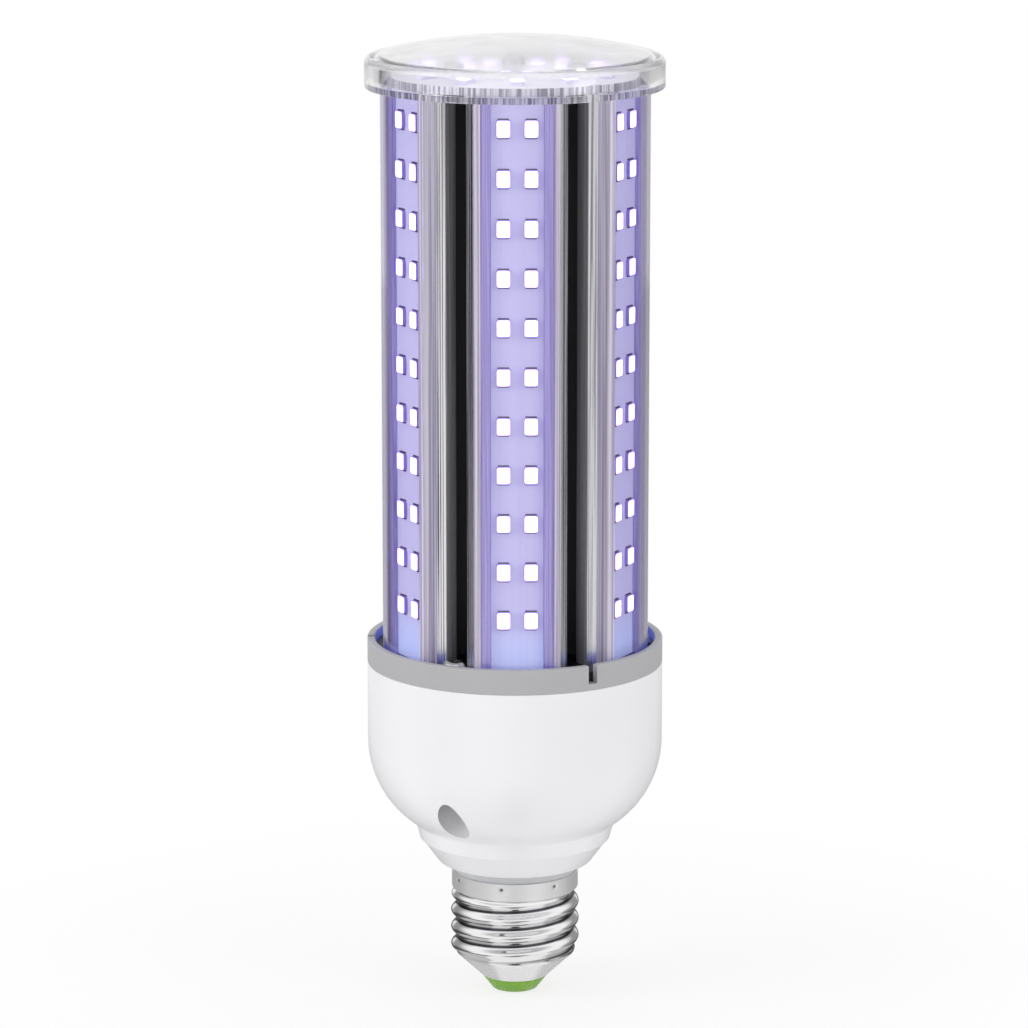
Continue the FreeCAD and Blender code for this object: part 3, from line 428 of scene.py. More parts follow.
THIRDS = (0, 120, 240)
pockets = [Matrix.Rotation(math.radians(bearing), 2) @ Vector((POCKET_CIRCLE, 0)) for bearing in THIRDS]
crease_angle = math.degrees(math.atan2(CREASE - BOWL_MIDDLE[1], CREASE_RADIUS - BOWL_MIDDLE[0]))
hollow = turned("housing_hollow", [
    (0, NECK_FOOT - 8), (SPIGOT_BORE, NECK_FOOT - 8), (SPIGOT_BORE, NECK_FOOT + WALL)]
    + arc(BOWL_MIDDLE, BOWL_RADIUS - WALL, crease_angle + 2, 0, 14)
    + [(BODY_RADIUS - WALL, HOUSING_TOP + 2), (0, HOUSING_TOP + 2)], 96)
cut(hollow, [upright("boss", BOSS_RADIUS, NECK_FOOT, HOUSING_TOP - 8, (BOSS_CIRCLE, bearing)) for bearing in THIRDS])
housing = turned("moulded_housing", soften([
    (0, NECK_FOOT - SPIGOT_DEEP), (SPIGOT_RADIUS, NECK_FOOT - SPIGOT_DEEP), (SPIGOT_RADIUS, NECK_FOOT, 0.3),
    (NECK_RADIUS, NECK_FOOT, 1.0), (BAND_RADIUS, NECK_BAND, 0.25), (BAND_RADIUS + BAND_STEP, NECK_BAND, 0.1),
    (CREASE_RADIUS, CREASE, 0.8)]
    + arc(BOWL_MIDDLE, BOWL_RADIUS, crease_angle + 2.5, 0, 28)
    + [(BODY_RADIUS, HOUSING_TOP - 6), (BODY_RADIUS, HOUSING_TOP, 0.25), (0, HOUSING_TOP)]))
cut(housing, [hollow] + [upright("pocket", POCKET_RADIUS, NECK_FOOT, POCKET_TOP, (POCKET_CIRCLE, bearing))
                         for bearing in THIRDS])
# White polycarbonate from a polished mould: an even satin gloss, with slow clouds where the melt ran
white_plastic = grained("white_polycarbonate", {"IOR": 1.58}, (40.0, 40.0, 40.0), (0.29, 0.31), 0,
                        ("#F3F2F4", "#F6F5F7"), 0.0)
dress(housing, white_plastic, "housing_white", "housing")
# The spigot under the neck is matte, and greyed with painted shade for the shade that falls under the neck
spigot_shade = grained("spigot_polycarbonate_in_painted_shade", {"IOR": 1.5}, (3.0, 3.0, 0.8), (0.5, 0.7), 0.01, ("#C4C6C8", "#D6D7D9"))
paint(housing, spigot_shade, lambda face: face.center.z < NECK_FOOT * MM and abs(reach(face) - SPIGOT_RADIUS) < 0.2)
# The pockets come off spark-eroded cores, which leave them matte; their grey is painted shade, for the shade deep in
# them
pocket_shade = grained("pocket_polycarbonate_in_painted_shade", {"IOR": 1.5}, (0.4, 0.4, 0.4), (0.6, 0.75), 0.02, ("#BFBFC2", "#D2D2D5"))
paint(housing, pocket_shade, in_pocket)

# Driver: a round glass-fibre board on the boss shoulders, with capacitors, transformer and fuse under it.
# Nothing of it shows in the closed housing, so its solids stay as they are, each in its own material.
driver_finishes = {
    "glass_fibre_board": ("#1E5A34", 0.35, 0.6, ["driver_board"]),
    "capacitor_sleeve_pvc": ("#1B1D3A", 0.3, 1.5, ["input_capacitor", "output_capacitor"]),
    "sintered_ferrite": ("#2B2B2C", 0.65, 0.3, ["transformer_core"]),
    "polyester_winding_tape": ("#D9AE2A", 0.3, 3.0, ["transformer_winding"]),
    "moulded_epoxy": ("#131313", 0.55, 0.2, ["driver_chip", "bridge_rectifier"]),
    "resistor_lacquer": ("#6F8F7C", 0.4, 0.8, ["fuse_resistor"]),
    "red_pvc_sleeve": ("#B01712", 0.4, 1.0, ["live_lead", "output_leads"]),
    "black_pvc_sleeve": ("#0E0E0F", 0.4, 1.0, ["neutral_lead"]),
}


def coat(node, material):
    """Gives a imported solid, which keeps its shape, its finish."""
    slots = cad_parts[node].data.materials
    slots.clear()
    slots.append(material)


for name, (colour, rough, speck, nodes) in driver_finishes.items():
    material = grained(name, {"Base Color": linear(colour)}, (speck,) * 3, (rough - 0.08, rough + 0.08), 0.01)
    for node in nodes:
        coat(node, material)

# Collar ring: a grey ring on the housing's rim, with a lip inside it, a ledge for the plate and three narrow
# notches down from its top edge. It is moulded, and the plate that is screwed on its ledge holds it.
RING_TOP = HOUSING_TOP + 5.0
RING_BORE, LEDGE_BORE = 28.4, 27.4
LEDGE = HOUSING_TOP + 1.25
LIP_RADIUS, LIP_DEEP = BODY_RADIUS - WALL - 0.1, 1.5
NOTCH_WIDTH, NOTCH_DEPTH, NOTCH_CUT, NOTCH_PLACE = 2.0, 3.7, 4, 29.5
NOTCH_TURNS = (60, 180, 300)


def slab(name, size, place, bearing):
    """A box tool of three sides in mm about a place that is given before the box is turned to a bearing."""
    builder = bmesh.new()
    bmesh.ops.create_cube(builder, size=1.0)
    shift = Matrix.Translation(Vector(place) * MM) @ Matrix.Diagonal((*(side * MM for side in size), 1))
    bmesh.ops.transform(builder, matrix=Matrix.Rotation(math.radians(bearing), 4, "Z") @ shift, verts=builder.verts)
    return new_piece(name, builder)


ring = turned("collar_band", soften([
    (LEDGE_BORE, HOUSING_TOP - LIP_DEEP), (LIP_RADIUS, HOUSING_TOP - LIP_DEEP), (LIP_RADIUS, HOUSING_TOP),
    (BODY_RADIUS, HOUSING_TOP, 0.2), (BODY_RADIUS, RING_TOP, 0.3), (RING_BORE, RING_TOP, 0.3), (RING_BORE, LEDGE),
    (LEDGE_BORE, LEDGE)]))
cut(ring, [slab("notch", (NOTCH_CUT, NOTCH_WIDTH, NOTCH_DEPTH * 2), (NOTCH_PLACE, 0, RING_TOP), bearing)
           for bearing in NOTCH_TURNS])
# Grey ABS from a spark-eroded mould: matte, with a fine even grain
eroded_grain = ((0.22, 0.22, 0.22), (0.42, 0.56), 0.012)
grey_plastic = grained("grey_moulded_abs", {"IOR": 1.53}, *eroded_grain, ("#AEAEB1", "#BABABD"))
dress(ring, grey_plastic, "ring_grey", "collar_ring")
# Its inner wall catches the violet of the strips
lit_plastic = grained("grey_abs_in_violet_light", {
    "IOR": 1.53, "Emission Color": linear("#5F72FF"), "Emission Strength": 0.24},
    *eroded_grain, ("#8F98C8", "#9FA8D8"))
paint(ring, lit_plastic, lambda face: abs(reach(face) - RING_BORE) < 0.1 and face.center.z > LEDGE * MM)

# Mounting plate: a black powder-coated disc in the ring, which carries the heat sink.
# Its solid is right as it is, and only its coat is added.
black_coat = grained("black_powder_coat", {"Base Color": linear("#101012")}, (0.35, 0.35, 0.35), (0.42, 0.6), 0.03)
coat("mounting_plate", black_coat)

# Screws: zinc-plated steel pan heads with a cross recess, cold headed, three in each of three rings.
# The plate's three show in the gaps between the columns, and the round board's three under the clear cap.
HEAD_RADIUS, HEAD_RISE, SHANK_RADIUS = 2.45, 1.9, 1.3
RECESS_LONG, RECESS_WIDE, RECESS_DEEP = 1.4, 0.42, 1.1
PLATE_TOP = LEDGE + 2.0
COLUMN_LENGTH = 115.0
COLUMN_TOP = PLATE_TOP + COLUMN_LENGTH
BOARD_LEVEL = COLUMN_TOP + 1.5
BOARD_SCREW_CIRCLE, FOOT_SCREW_CIRCLE = 14.0, 13.0
RECESS_TURN = 0.9
screw_rings = {
    "plate_fixing_screws": ("plate_screws", BOSS_CIRCLE, PLATE_TOP, 0.0, 11.0, 1),
    "foot_fixing_screws": ("foot_screws", FOOT_SCREW_CIRCLE, LEDGE, 90.0, 9.0, -1),
    "board_fixing_screws": ("top_board_screws", BOARD_SCREW_CIRCLE, BOARD_LEVEL, 90.0, 8.0, 1)}


def ranged(group, piece, count, turn, circle, level, twist=0.0):
    """So many copies of a piece evenly round the axis, from a turn in degrees, each twisted on from the last."""
    index = add(group, "GeometryNodeInputIndex")
    step = wire(group, "Math DIVIDE", math.tau, count)
    bearing = wire(group, "Math MULTIPLY_ADD", index, step, wire(group, "Math RADIANS", turn))
    spots = add(group, "GeometryNodePoints", inputs={
        "Count": count, "Position": about_axis(group, circle, bearing, level)})
    way = add(group, "ShaderNodeCombineXYZ", inputs={2: wire(group, "Math MULTIPLY_ADD", index, twist, bearing)})
    return add(group, "GeometryNodeInstanceOnPoints", inputs={"Points": spots, "Instance": piece, "Rotation": way})


group, size = new_group("screw_ring", {"Circle": 1.0, "Level": 1.0, "Turn": 1.0, "Count": 3})
row = ranged(group, size["Geometry"], size["Count"], size["Turn"], size["Circle"], size["Level"], RECESS_TURN)
end_group(group, row, size["Material"])

# Bright zinc on steel: a soft sheen with cloudy spots
zinc = grained("zinc_plated_steel", {"Base Color": linear("#C6C7C9"), "Metallic": 1.0}, (0.5, 0.5, 0.5), (0.2, 0.36),
               0.01)
for name, (node, circle, level, turn, length, side) in screw_rings.items():
    screw = turned(name, soften([
        (0, HEAD_RISE), (HEAD_RADIUS - 0.6, HEAD_RISE, 0.9), (HEAD_RADIUS, HEAD_RISE / 3, 0.5), (HEAD_RADIUS, 0, 0.1),
        (SHANK_RADIUS, 0), (SHANK_RADIUS, 1 - length), (0.3, -length), (0, -length)]), 48)
    arms = [slab("recess", (RECESS_LONG * 2, RECESS_WIDE * 2, RECESS_DEEP * 2), (0, 0, HEAD_RISE), bearing)
            for bearing in (0, 90)]
    cut(screw, arms)
    if side < 0:
        screw.data.transform(Matrix.Rotation(math.pi, 4, "X"))
    grown(screw, group, zinc, {"Circle": circle, "Level": level, "Turn": turn, "Count": 3})
    dress(screw, None, "screw_steel", node)

# Heat sink: an aluminium extrusion, a core tube with six stems, each with a head that has two rails for the
# strip and a ribbed shoulder on each side. The die leaves fine lines along it; it is bare, with painted shade in the
# slots.
SEAT = 22.8
RAIL_INSIDE, RAIL_STEM, RAIL_OUTSIDE, RAIL_TOP, RAIL_THICK = 5.2, 6.2, 7.2, 25.1, 0.6
COVER_HALF, COVER_LEDGE = 8.6, 23.25
SHOULDER = (9.974, 21.876)
HOOK_TIP, HOOK_END, HOOK_ROOT = (7.774, 18.066), (6.475, 18.816), (7.736, 21.0)
STEM_HALF, STEM_FOOT, HEAD_BACK = 2.3, 8.6, 21.0
SHADE_REACH = 8.2
CORE_RADIUS, CORE_BORE = 9.5, 7.0
RIBS = 4
RIB_DEPTH, SLANT = 0.05, 0.7
column_sizes = {"Length": COLUMN_LENGTH, "Level": PLATE_TOP, "Turn": 0.0, "Copies": 6}

group, size = new_group("extruded_columns", column_sizes)
drawn = add(group, "GeometryNodeExtrudeMesh", {"mode": "FACES"}, {
    "Mesh": size["Geometry"], "Offset": about_axis(group, 0.0, 0.0, size["Length"]), "Offset Scale": 1.0,
    "Individual": False})
under = add(group, "GeometryNodeFlipFaces", inputs={"Mesh": size["Geometry"]})
both = add(group, "GeometryNodeJoinGeometry")
for half in (drawn, under):
    group.links.new(half.outputs[0], both.inputs[0])
bar = add(group, "GeometryNodeMergeByDistance", inputs={"Geometry": both, "Distance": SEAM})
row = ranged(group, bar, size["Copies"], size["Turn"], 0.0, size["Level"])
end_group(group, row, size["Material"])
extruded_columns = group


def section(name, outline):
    """One flat face in the outline of an extrusion, across and out from the lamp's axis, facing the front."""
    builder = bmesh.new()
    builder.faces.new([builder.verts.new((across * MM, -out * MM, 0)) for across, out in outline])
    bmesh.ops.recalc_face_normals(builder, faces=builder.faces)
    face = list(builder.faces)[0]
    if face.normal.z < 0:
        face.normal_flip()
    return as_piece(name, builder)


ribs = []
for rib in range(RIBS):
    for share, sunk in ((0.18, 0.0), (0.5, RIB_DEPTH), (0.82, 0.0)):
        along = (rib + share) / RIBS
        ribs.append((COVER_HALF + (SHOULDER[0] - COVER_HALF) * along - sunk * SLANT,
                     COVER_LEDGE + (SHOULDER[1] - COVER_LEDGE) * along - sunk * SLANT))
right_half = [
    (RAIL_INSIDE, SEAT), (RAIL_INSIDE, RAIL_TOP, 0.2), (RAIL_OUTSIDE, RAIL_TOP, 0.25),
    (RAIL_OUTSIDE, RAIL_TOP - RAIL_THICK, 0.2), (RAIL_STEM, RAIL_TOP - RAIL_THICK), (RAIL_STEM, COVER_LEDGE),
    (COVER_HALF, COVER_LEDGE)] + ribs + [
    (*SHOULDER, 0.3), (*HOOK_TIP, 0.4), (*HOOK_END, 0.4), (*HOOK_ROOT, 0.3), (STEM_HALF, HEAD_BACK, 0.8),
    (STEM_HALF, STEM_FOOT)]
left_half = [(-corner[0], *corner[1:]) for corner in reversed(right_half)]
columns = section("column_bars", soften(right_half + left_half, 3))


def repaint(piece, material, zone):
    """Paints the upright faces of columns whose place across and out from the axis, in mm, is in a zone."""
    def on_column(face):
        x, y, _ = face.center / MM
        turn = math.radians(60 * round(math.degrees(math.atan2(x, -y)) / 60))
        across = abs(x * math.cos(turn) + y * math.sin(turn))
        out = x * math.sin(turn) - y * math.cos(turn)
        return abs(face.normal.z) < 0.5 and zone(across, out)
    paint(piece, material, on_column)


# Bare extruded aluminium: die lines a fifth of a millimetre wide run its whole length and blur what it mirrors
die_lines = ((0.22, 0.22, 40.0), (0.3, 0.46), 0.01)
aluminium = grained("extruded_aluminium", {"Metallic": 0.6}, *die_lines, ("#B2B1B8", "#DEDEE1"), 2.0, (0.35, 0.65))
# The ribbed shoulders are brighter, and mirror the light and the dark parts of the floor
ribbed = grained("ribbed_aluminium", {"Metallic": 1.0}, (0.3, 0.3, 60.0), (0.22, 0.34), 0.02, ("#A09EA6", "#F2F1F4"),
                 2.0, (0.36, 0.56))
# The rails beside the LEDs catch their violet light
lit_rail = grained("aluminium_in_violet_light", {
    "Metallic": 0.5, "Emission Color": linear("#7F68FF"), "Emission Strength": 0.11},
    *die_lines, ("#ACA8C4", "#DCD9EA"), 2.0, (0.35, 0.65))
# Painted shade inside the slots, up to the backs of the heads, and on the core tube: a dark grey for the shade
# between the columns
slot_shade = grained("dark_grey_painted_shade", {"Base Color": linear("#545459")}, (0.5, 0.5, 0.5), (0.5, 0.65), 0.02)
grown(columns, extruded_columns, aluminium, column_sizes)
repaint(columns, ribbed, lambda across, out: across > COVER_HALF and out > SHOULDER[1])
repaint(columns, slot_shade, lambda across, out: across < SHADE_REACH and out < HEAD_BACK + 0.1)
repaint(columns, lit_rail, lambda across, out: across < COVER_HALF and out > SEAT - 0.1)
core = turned("core_tube", [(CORE_BORE, PLATE_TOP), (CORE_RADIUS, PLATE_TOP), (CORE_RADIUS, COLUMN_TOP),
                            (CORE_BORE, COLUMN_TOP)], 72)
dress(columns, None, "heat_sink_aluminium", "heat_sink")
dress(core, slot_shade, "heat_sink_aluminium", "heat_sink")

# Strip boards: aluminium-backed boards lacquered white, which slide down between the rails.
# The lacquer scatters the violet of the LEDs, so the whole face glows a pale lavender.
STRIPS = range(1, 7)
BOARD_GLOW = 0.36
BLUE_FOOT = ((PLATE_TOP + 2.0) * MM, (PLATE_TOP + 13.0) * MM)
lacquer, tree, shader = new_material("white_solder_lacquer", {
    "IOR": 1.5, "Emission Color": linear("#A8ABD8"), "Emission Strength": BOARD_GLOW})
grain(tree, shader, (0.6, 0.6, 1.2), (0.3, 0.44), 0.008)
# Its foot, in the ring, is bluer, because only scattered light reaches it
z = add(tree, "ShaderNodeSeparateXYZ", inputs={0: add(tree, "ShaderNodeTexCoord").outputs["Object"]}).outputs[2]
foot = wire(tree, SMOOTH, z, *BLUE_FOOT, 1.0, 0.0)
tint(tree, shader, foot, "#DADDE2", "#DAF2FF")
for number in STRIPS:
    coat(f"strip_board_{number}", lacquer)

# Strip LEDs: two files of eleven packages a strip, each a white moulded cup with a clear window over its chip
# and a tinned foot at either end. They are placed by machine and soldered, and they are lit.
LED_WIDE, LED_LONG, LED_TALL = 2.8, 3.5, 0.75
LED_SPACING, LED_PITCH, LED_ROWS = 5.38, 9.78, 11
FIRST_LED = PLATE_TOP + 10.7
BOARD_FACE = 24.2
LED_LIGHT = 6.0
CUP_ROUND, CUP_RIM, WINDOW_SUNK = 0.5, 0.12, 0.04
FOOT_WIDE, FOOT_TALL, FOOT_LONG = 2.2, 0.26, 0.24


def led_package(name):
    """One package about the origin, standing out towards the front from the plane y = 0."""
    builder = bmesh.new()
    window = builder.faces.layers.bool.new("window")
    tinned = builder.faces.layers.bool.new("tinned")
    bmesh.ops.create_cube(builder, size=1.0)
    bmesh.ops.transform(builder, verts=builder.verts, matrix=Matrix.Translation((0, -LED_TALL / 2 * MM, 0))
                        @ Matrix.Diagonal((LED_WIDE * MM, LED_TALL * MM, LED_LONG * MM, 1)))
    corners = [edge for edge in builder.edges if abs(edge.verts[0].co.y - edge.verts[1].co.y) > 0.5 * LED_TALL * MM]
    bmesh.ops.bevel(builder, geom=corners, offset=CUP_ROUND * MM, segments=2, profile=0.5, affect="EDGES")
    face = min(builder.faces, key=lambda f: f.calc_center_median().y)
    bmesh.ops.inset_individual(builder, faces=[face], thickness=CUP_RIM * MM, depth=-WINDOW_SUNK * MM)
    face[window] = True
    for end in (-1, 1):
        foot = bmesh.ops.create_cube(builder, size=1.0)["verts"]
        place = Matrix.Translation((0, -FOOT_TALL / 2 * MM, end * (LED_LONG + FOOT_LONG) / 2 * MM))
        size = Matrix.Diagonal((FOOT_WIDE * MM, FOOT_TALL * MM, FOOT_LONG * MM, 1))
        bmesh.ops.transform(builder, verts=foot, matrix=place @ size)
        for face in {face for corner in foot for face in corner.link_faces}:
            face[tinned] = True
    return as_piece(name, builder)


# Violet light through clear silicone: far brighter than the scene, so it burns out to white with a violet rim
window_light, tree, shader = new_material("lit_silicone_window", {
    "Base Color": linear("#F4F0FF"), "Roughness": 0.3, "Emission Color": linear("#AD90FF"),
    "Emission Strength": LED_LIGHT})
# White moulded cup, lit through from inside: a painted violet glow, and a darker violet grey than the top cups as
# painted shade round the window
cup_grain = ((0.3, 0.3, 0.3), (0.35, 0.5), 0.01)
cup_in_painted_glow_and_shade = grained("white_cup_painted_violet_glow_and_shade", {
    "Base Color": linear("#A79CD2"), "Emission Color": linear("#A99CFF"), "Emission Strength": 0.12}, *cup_grain)
# Tinned copper feet, coloured dark violet grey as painted shade: the dark outline at the ends of each package
feet_in_painted_shade = grained("tinned_feet_in_painted_shade", {"Base Color": linear("#5A5668"), "Metallic": 0.6}, (0.2, 0.2, 0.2),
                     (0.35, 0.5), 0.01)

strip_sizes = {"Spacing": LED_SPACING, "Pitch": LED_PITCH, "Rows": LED_ROWS, "First": FIRST_LED, "Reach": BOARD_FACE,
               "Turn": 0.0}
group, size = new_group("led_files", strip_sizes)
index = add(group, "GeometryNodeInputIndex")
file_side = wire(group, "Math SUBTRACT", wire(group, "Math MODULO", index, 2.0), 0.5)
row_up = wire(group, "Math FLOOR", wire(group, "Math DIVIDE", index, 2.0))
spot = add(group, "ShaderNodeCombineXYZ", inputs={
    0: wire(group, "Math MULTIPLY", file_side, size["Spacing"]), 1: wire(group, "Math MULTIPLY", size["Reach"], -1.0),
    2: wire(group, "Math MULTIPLY_ADD", row_up, size["Pitch"], size["First"])})
metres = add(group, "ShaderNodeVectorMath", {"operation": "SCALE"}, {0: spot, "Scale": MM})
spots = add(group, "GeometryNodePoints", inputs={"Count": wire(group, "Math MULTIPLY", size["Rows"], 2.0),
                                                 "Position": metres})
row = add(group, "GeometryNodeInstanceOnPoints", inputs={"Points": spots, "Instance": size["Geometry"]})
way = add(group, "ShaderNodeCombineXYZ", inputs={2: wire(group, "Math RADIANS", size["Turn"])})
turned_row = add(group, "GeometryNodeTransform", inputs={"Geometry": row, "Rotation": way})
end_group(group, turned_row, size["Material"], (("window", window_light), ("tinned", feet_in_painted_shade)))
for number in STRIPS:
    leds = led_package(f"led_files_{number}")
    grown(leds, group, cup_in_painted_glow_and_shade, {**strip_sizes, "Turn": 60.0 * (number - 1)})
    dress(leds, None, "led_violet", f"strip_leds_{number}")

# Strip covers: clear polycarbonate extrusions with an arched face, whose lips slide under the rails.
# They are drawn through a die, so they are glossy along their length, and the saw leaves their ends clear.
COVER_FOOT = COVER_LEDGE + 0.05
COVER_WALL = 0.7
ARCH_RADIUS, ARCH_SPRING = 20.0, 2.7
RIBBED_FROM = 7.0
CORNER_ROUND = 1.2
LIP_TIP, LIP_RISE = 6.3, 1.1
ARCH_MIDDLE = COVER_FOOT + ARCH_SPRING - math.sqrt(ARCH_RADIUS ** 2 - COVER_HALF ** 2)
lean = math.degrees(math.asin((COVER_HALF - CORNER_ROUND) / (ARCH_RADIUS - CORNER_ROUND)))
corner = (COVER_HALF - CORNER_ROUND, ARCH_MIDDLE + (ARCH_RADIUS - CORNER_ROUND) * math.cos(math.radians(lean)))
inner_half = COVER_HALF - COVER_WALL
inner_lean = math.degrees(math.asin(inner_half / (ARCH_RADIUS - COVER_WALL)))
cover_outline = (
    [(COVER_HALF, COVER_FOOT)] + arc(corner, CORNER_ROUND, 0, 90 - lean, 6)
    + arc((0, ARCH_MIDDLE), ARCH_RADIUS, 90 - lean, 90 + lean, 24)[1:-1]
    + arc((-corner[0], corner[1]), CORNER_ROUND, 90 + lean, 180, 6)
    + [(-COVER_HALF, COVER_FOOT), (-LIP_TIP, COVER_FOOT), (-LIP_TIP, COVER_FOOT + LIP_RISE),
       (-inner_half, COVER_FOOT + LIP_RISE, 0.25)]
    + arc((0, ARCH_MIDDLE), ARCH_RADIUS - COVER_WALL, 90 + inner_lean, 90 - inner_lean, 24)
    + [(inner_half, COVER_FOOT + LIP_RISE, 0.25), (LIP_TIP, COVER_FOOT + LIP_RISE), (LIP_TIP, COVER_FOOT)])


def clear_material(name, shades, rough, sizes, relief, clear=1.0):
    """Clear plastic that bends what is seen through it and lets the lamps' light pass to what is behind it."""
    material = grained(name, {"IOR": 1.58, "Transmission Weight": clear}, sizes, rough, relief, shades, 2.0,
                       (0.35, 0.65))
    tree = material.node_tree
    shader = tree.nodes["Principled BSDF"]
    path = add(tree, "ShaderNodeLightPath")
    passing = add(tree, "ShaderNodeBsdfTransparent")
    mix = add(tree, "ShaderNodeMixShader", inputs={0: path.outputs["Is Shadow Ray"], 1: shader, 2: passing})
    tree.links.new(mix.outputs[0], tree.nodes["Material Output"].inputs["Surface"])
    return material


# Extruded polycarbonate: glossy, with faint draw lines a millimetre or so apart along its length
clear_cover = clear_material("clear_extruded_polycarbonate", ("#DFD9F0", "#E3DDF1"), (0.01, 0.05), (1.0, 1.0, 90.0),
                             0.004)
# Its sides are drawn with fine ribs, which make them hazy: most of the light is scattered there
ribbed_cover = clear_material("ribbed_polycarbonate_sides", ("#B6AEC4", "#F3EFF7"), (0.05, 0.16), (0.4, 0.4, 90.0),
                              0.012, 0.35)
for number in STRIPS:
    cover = section(f"arched_cover_{number}", soften(cover_outline, 3))
    grown(cover, extruded_columns, clear_cover, {**column_sizes, "Turn": 60.0 * (number - 1), "Copies": 1})
    repaint(cover, ribbed_cover, lambda across, out: across > RIBBED_FROM)
    dress(cover, None, "clear_plastic", f"strip_cover_{number}")

# Round top board: the same kind of board, an aluminium disc lacquered white on its upper face, screwed on the
# end of the heat sink. Its cut edge is bare, and light from its own LEDs and the studio fills its face.
TOP_BOARD_RADIUS, LEAD_HOLE, SCREW_HOLE = 24.8, 2.5, 1.6
top_board = turned("round_board", soften([
    (LEAD_HOLE, COLUMN_TOP), (TOP_BOARD_RADIUS, COLUMN_TOP), (TOP_BOARD_RADIUS, BOARD_LEVEL, 0.1),
    (LEAD_HOLE, BOARD_LEVEL)], 2))
cut(top_board, [upright("hole", SCREW_HOLE, COLUMN_TOP - 1, BOARD_LEVEL + 1, (BOARD_SCREW_CIRCLE, bearing + 90), 24)
                for bearing in THIRDS])
# White satin lacquer, so brightly lit under the cap that it shows little violet
bright_lacquer = grained("white_lacquer_in_full_light", {
    "Base Color": linear("#E2E1E8"), "IOR": 1.5, "Emission Color": linear("#F3F1FF"), "Emission Strength": 0.03},
    (0.6, 0.6, 0.6), (0.3, 0.44), 0.006)
# The sheared edge is streaked up and down, bright where it tore and dull between
cut_edge = grained("sheared_aluminium_edge", {"Metallic": 0.3}, (0.5, 0.5, 40.0), (0.35, 0.5), 0.01,
                   ("#8A8598", "#E2E0E9"), 3.0, (0.38, 0.62))
dress(top_board, cut_edge, "board_white", "top_led_board")
paint(top_board, bright_lacquer, lambda face: face.normal.z > 0.9)

# Top LEDs: the same packages in two rings on the round board, six inside and twelve outside.
# Each lies flat with its window up, and they light the clear cap from below.
ring_sizes = {"Inner Circle": 9.5, "Outer Circle": 19.5, "Inner Count": 6, "Outer Count": 12, "Level": BOARD_LEVEL}
group, size = new_group("led_rings", ring_sizes)
flat = add(group, "GeometryNodeTransform", inputs={"Geometry": size["Geometry"],
                                                   "Rotation": Euler((-math.pi / 2, 0, math.pi / 2))})
rings = add(group, "GeometryNodeJoinGeometry")
for circle in ("Inner", "Outer"):
    row = ranged(group, flat, size[f"{circle} Count"], 0.0, size[f"{circle} Circle"], size["Level"])
    group.links.new(row.outputs[0], rings.inputs[0])
bright_cup = grained("white_cup_in_full_light", {
    "Base Color": linear("#DEDAEB"), "Emission Color": linear("#C9C0FF"), "Emission Strength": 0.08}, *cup_grain)
end_group(group, rings, size["Material"], (("window", window_light), ("tinned", bright_cup)))
top_leds = grown(led_package("led_rings"), group, bright_cup, ring_sizes)
dress(top_leds, None, "led_violet", "top_leds")

# Top cap: clear polycarbonate moulding, with a slotted skirt round the covers, a shoulder on their ends and
# a shallow dome. It is snapped over the columns, and light from the round board fills it.
CAP_RADIUS, CAP_BORE, SHOULDER_BORE = 29.89, 28.49, 26.6
CAP_FOOT = COLUMN_TOP - 1.25
CAP_WALL_TOP = CAP_FOOT + 4.9
EDGE_ROUND, MILKY_DROP = 1.4, 0.8
DOME_RADIUS, DOME_WALL = 117.0, 1.6
SLOT_WIDTH, SLOT_HEIGHT, SLOT_CUT, SLOT_PLACE = 2.3, 1.6, 6, 28.2
edge_middle = (CAP_RADIUS - EDGE_ROUND, CAP_WALL_TOP)
dome_lean = math.degrees(math.asin(edge_middle[0] / (DOME_RADIUS - EDGE_ROUND)))
dome_middle = CAP_WALL_TOP - (DOME_RADIUS - EDGE_ROUND) * math.cos(math.radians(dome_lean))
inner_lean = math.degrees(math.asin(SHOULDER_BORE / (DOME_RADIUS - DOME_WALL)))
cap = turned("domed_cap", soften(
    [(CAP_BORE, CAP_FOOT, 0.2), (CAP_RADIUS, CAP_FOOT, 0.35)]
    + arc(edge_middle, EDGE_ROUND, 0, 90 - dome_lean, 8)
    + arc((0, dome_middle), DOME_RADIUS, 90 - dome_lean, 90, 16)[1:]
    + arc((0, dome_middle), DOME_RADIUS - DOME_WALL, 90, 90 - inner_lean, 16)
    + [(SHOULDER_BORE, COLUMN_TOP), (CAP_BORE, COLUMN_TOP)]))
cut(cap, [slab("slot", (SLOT_CUT, SLOT_WIDTH, SLOT_HEIGHT * 2), (SLOT_PLACE, 0, CAP_FOOT), bearing)
          for bearing in NOTCH_TURNS])
# Moulded polycarbonate: polished, with a slow ripple where the melt ran in
clear_cap = clear_material("clear_moulded_polycarbonate", ("#F5F5F6", "#F7F7F8"), (0.03, 0.08), (6.0, 6.0, 6.0),
                           0.008)
# Its rounded edge is a little milky, where the mould parts and its polish ends
cap_edge = clear_material("milky_moulded_edge", ("#F0F0F2", "#FAFAFB"), (0.1, 0.2), (1.5, 1.5, 1.5), 0.004, 0.55)
dress(cap, clear_cap, "clear_plastic", "top_cap")
# Its bore is streaked up and down with painted shade, dark violet between lighter streaks
bore_shade = clear_material("bore_streaked_with_painted_shade", ("#4A4560", "#CBC8D8"), (0.1, 0.2), (0.5, 0.5, 40.0), 0.01, 0.5)


def outward(face):
    """How much an upright face of the skirt looks away from the lamp's axis; other faces look quite away."""
    on_skirt = face.center.z < COLUMN_TOP * MM and abs(face.normal.z) < 0.3
    return face.normal.xy.dot(face.center.xy.normalized()) if on_skirt else 1.0


# The walls of the slots are milky too
paint(cap, cap_edge, lambda face: abs(outward(face)) < 0.5 or (
    face.center.z > (CAP_WALL_TOP - MILKY_DROP) * MM and reach(face) > CAP_RADIUS - EDGE_ROUND))
paint(cap, bore_shade, lambda face: outward(face) < -0.5)

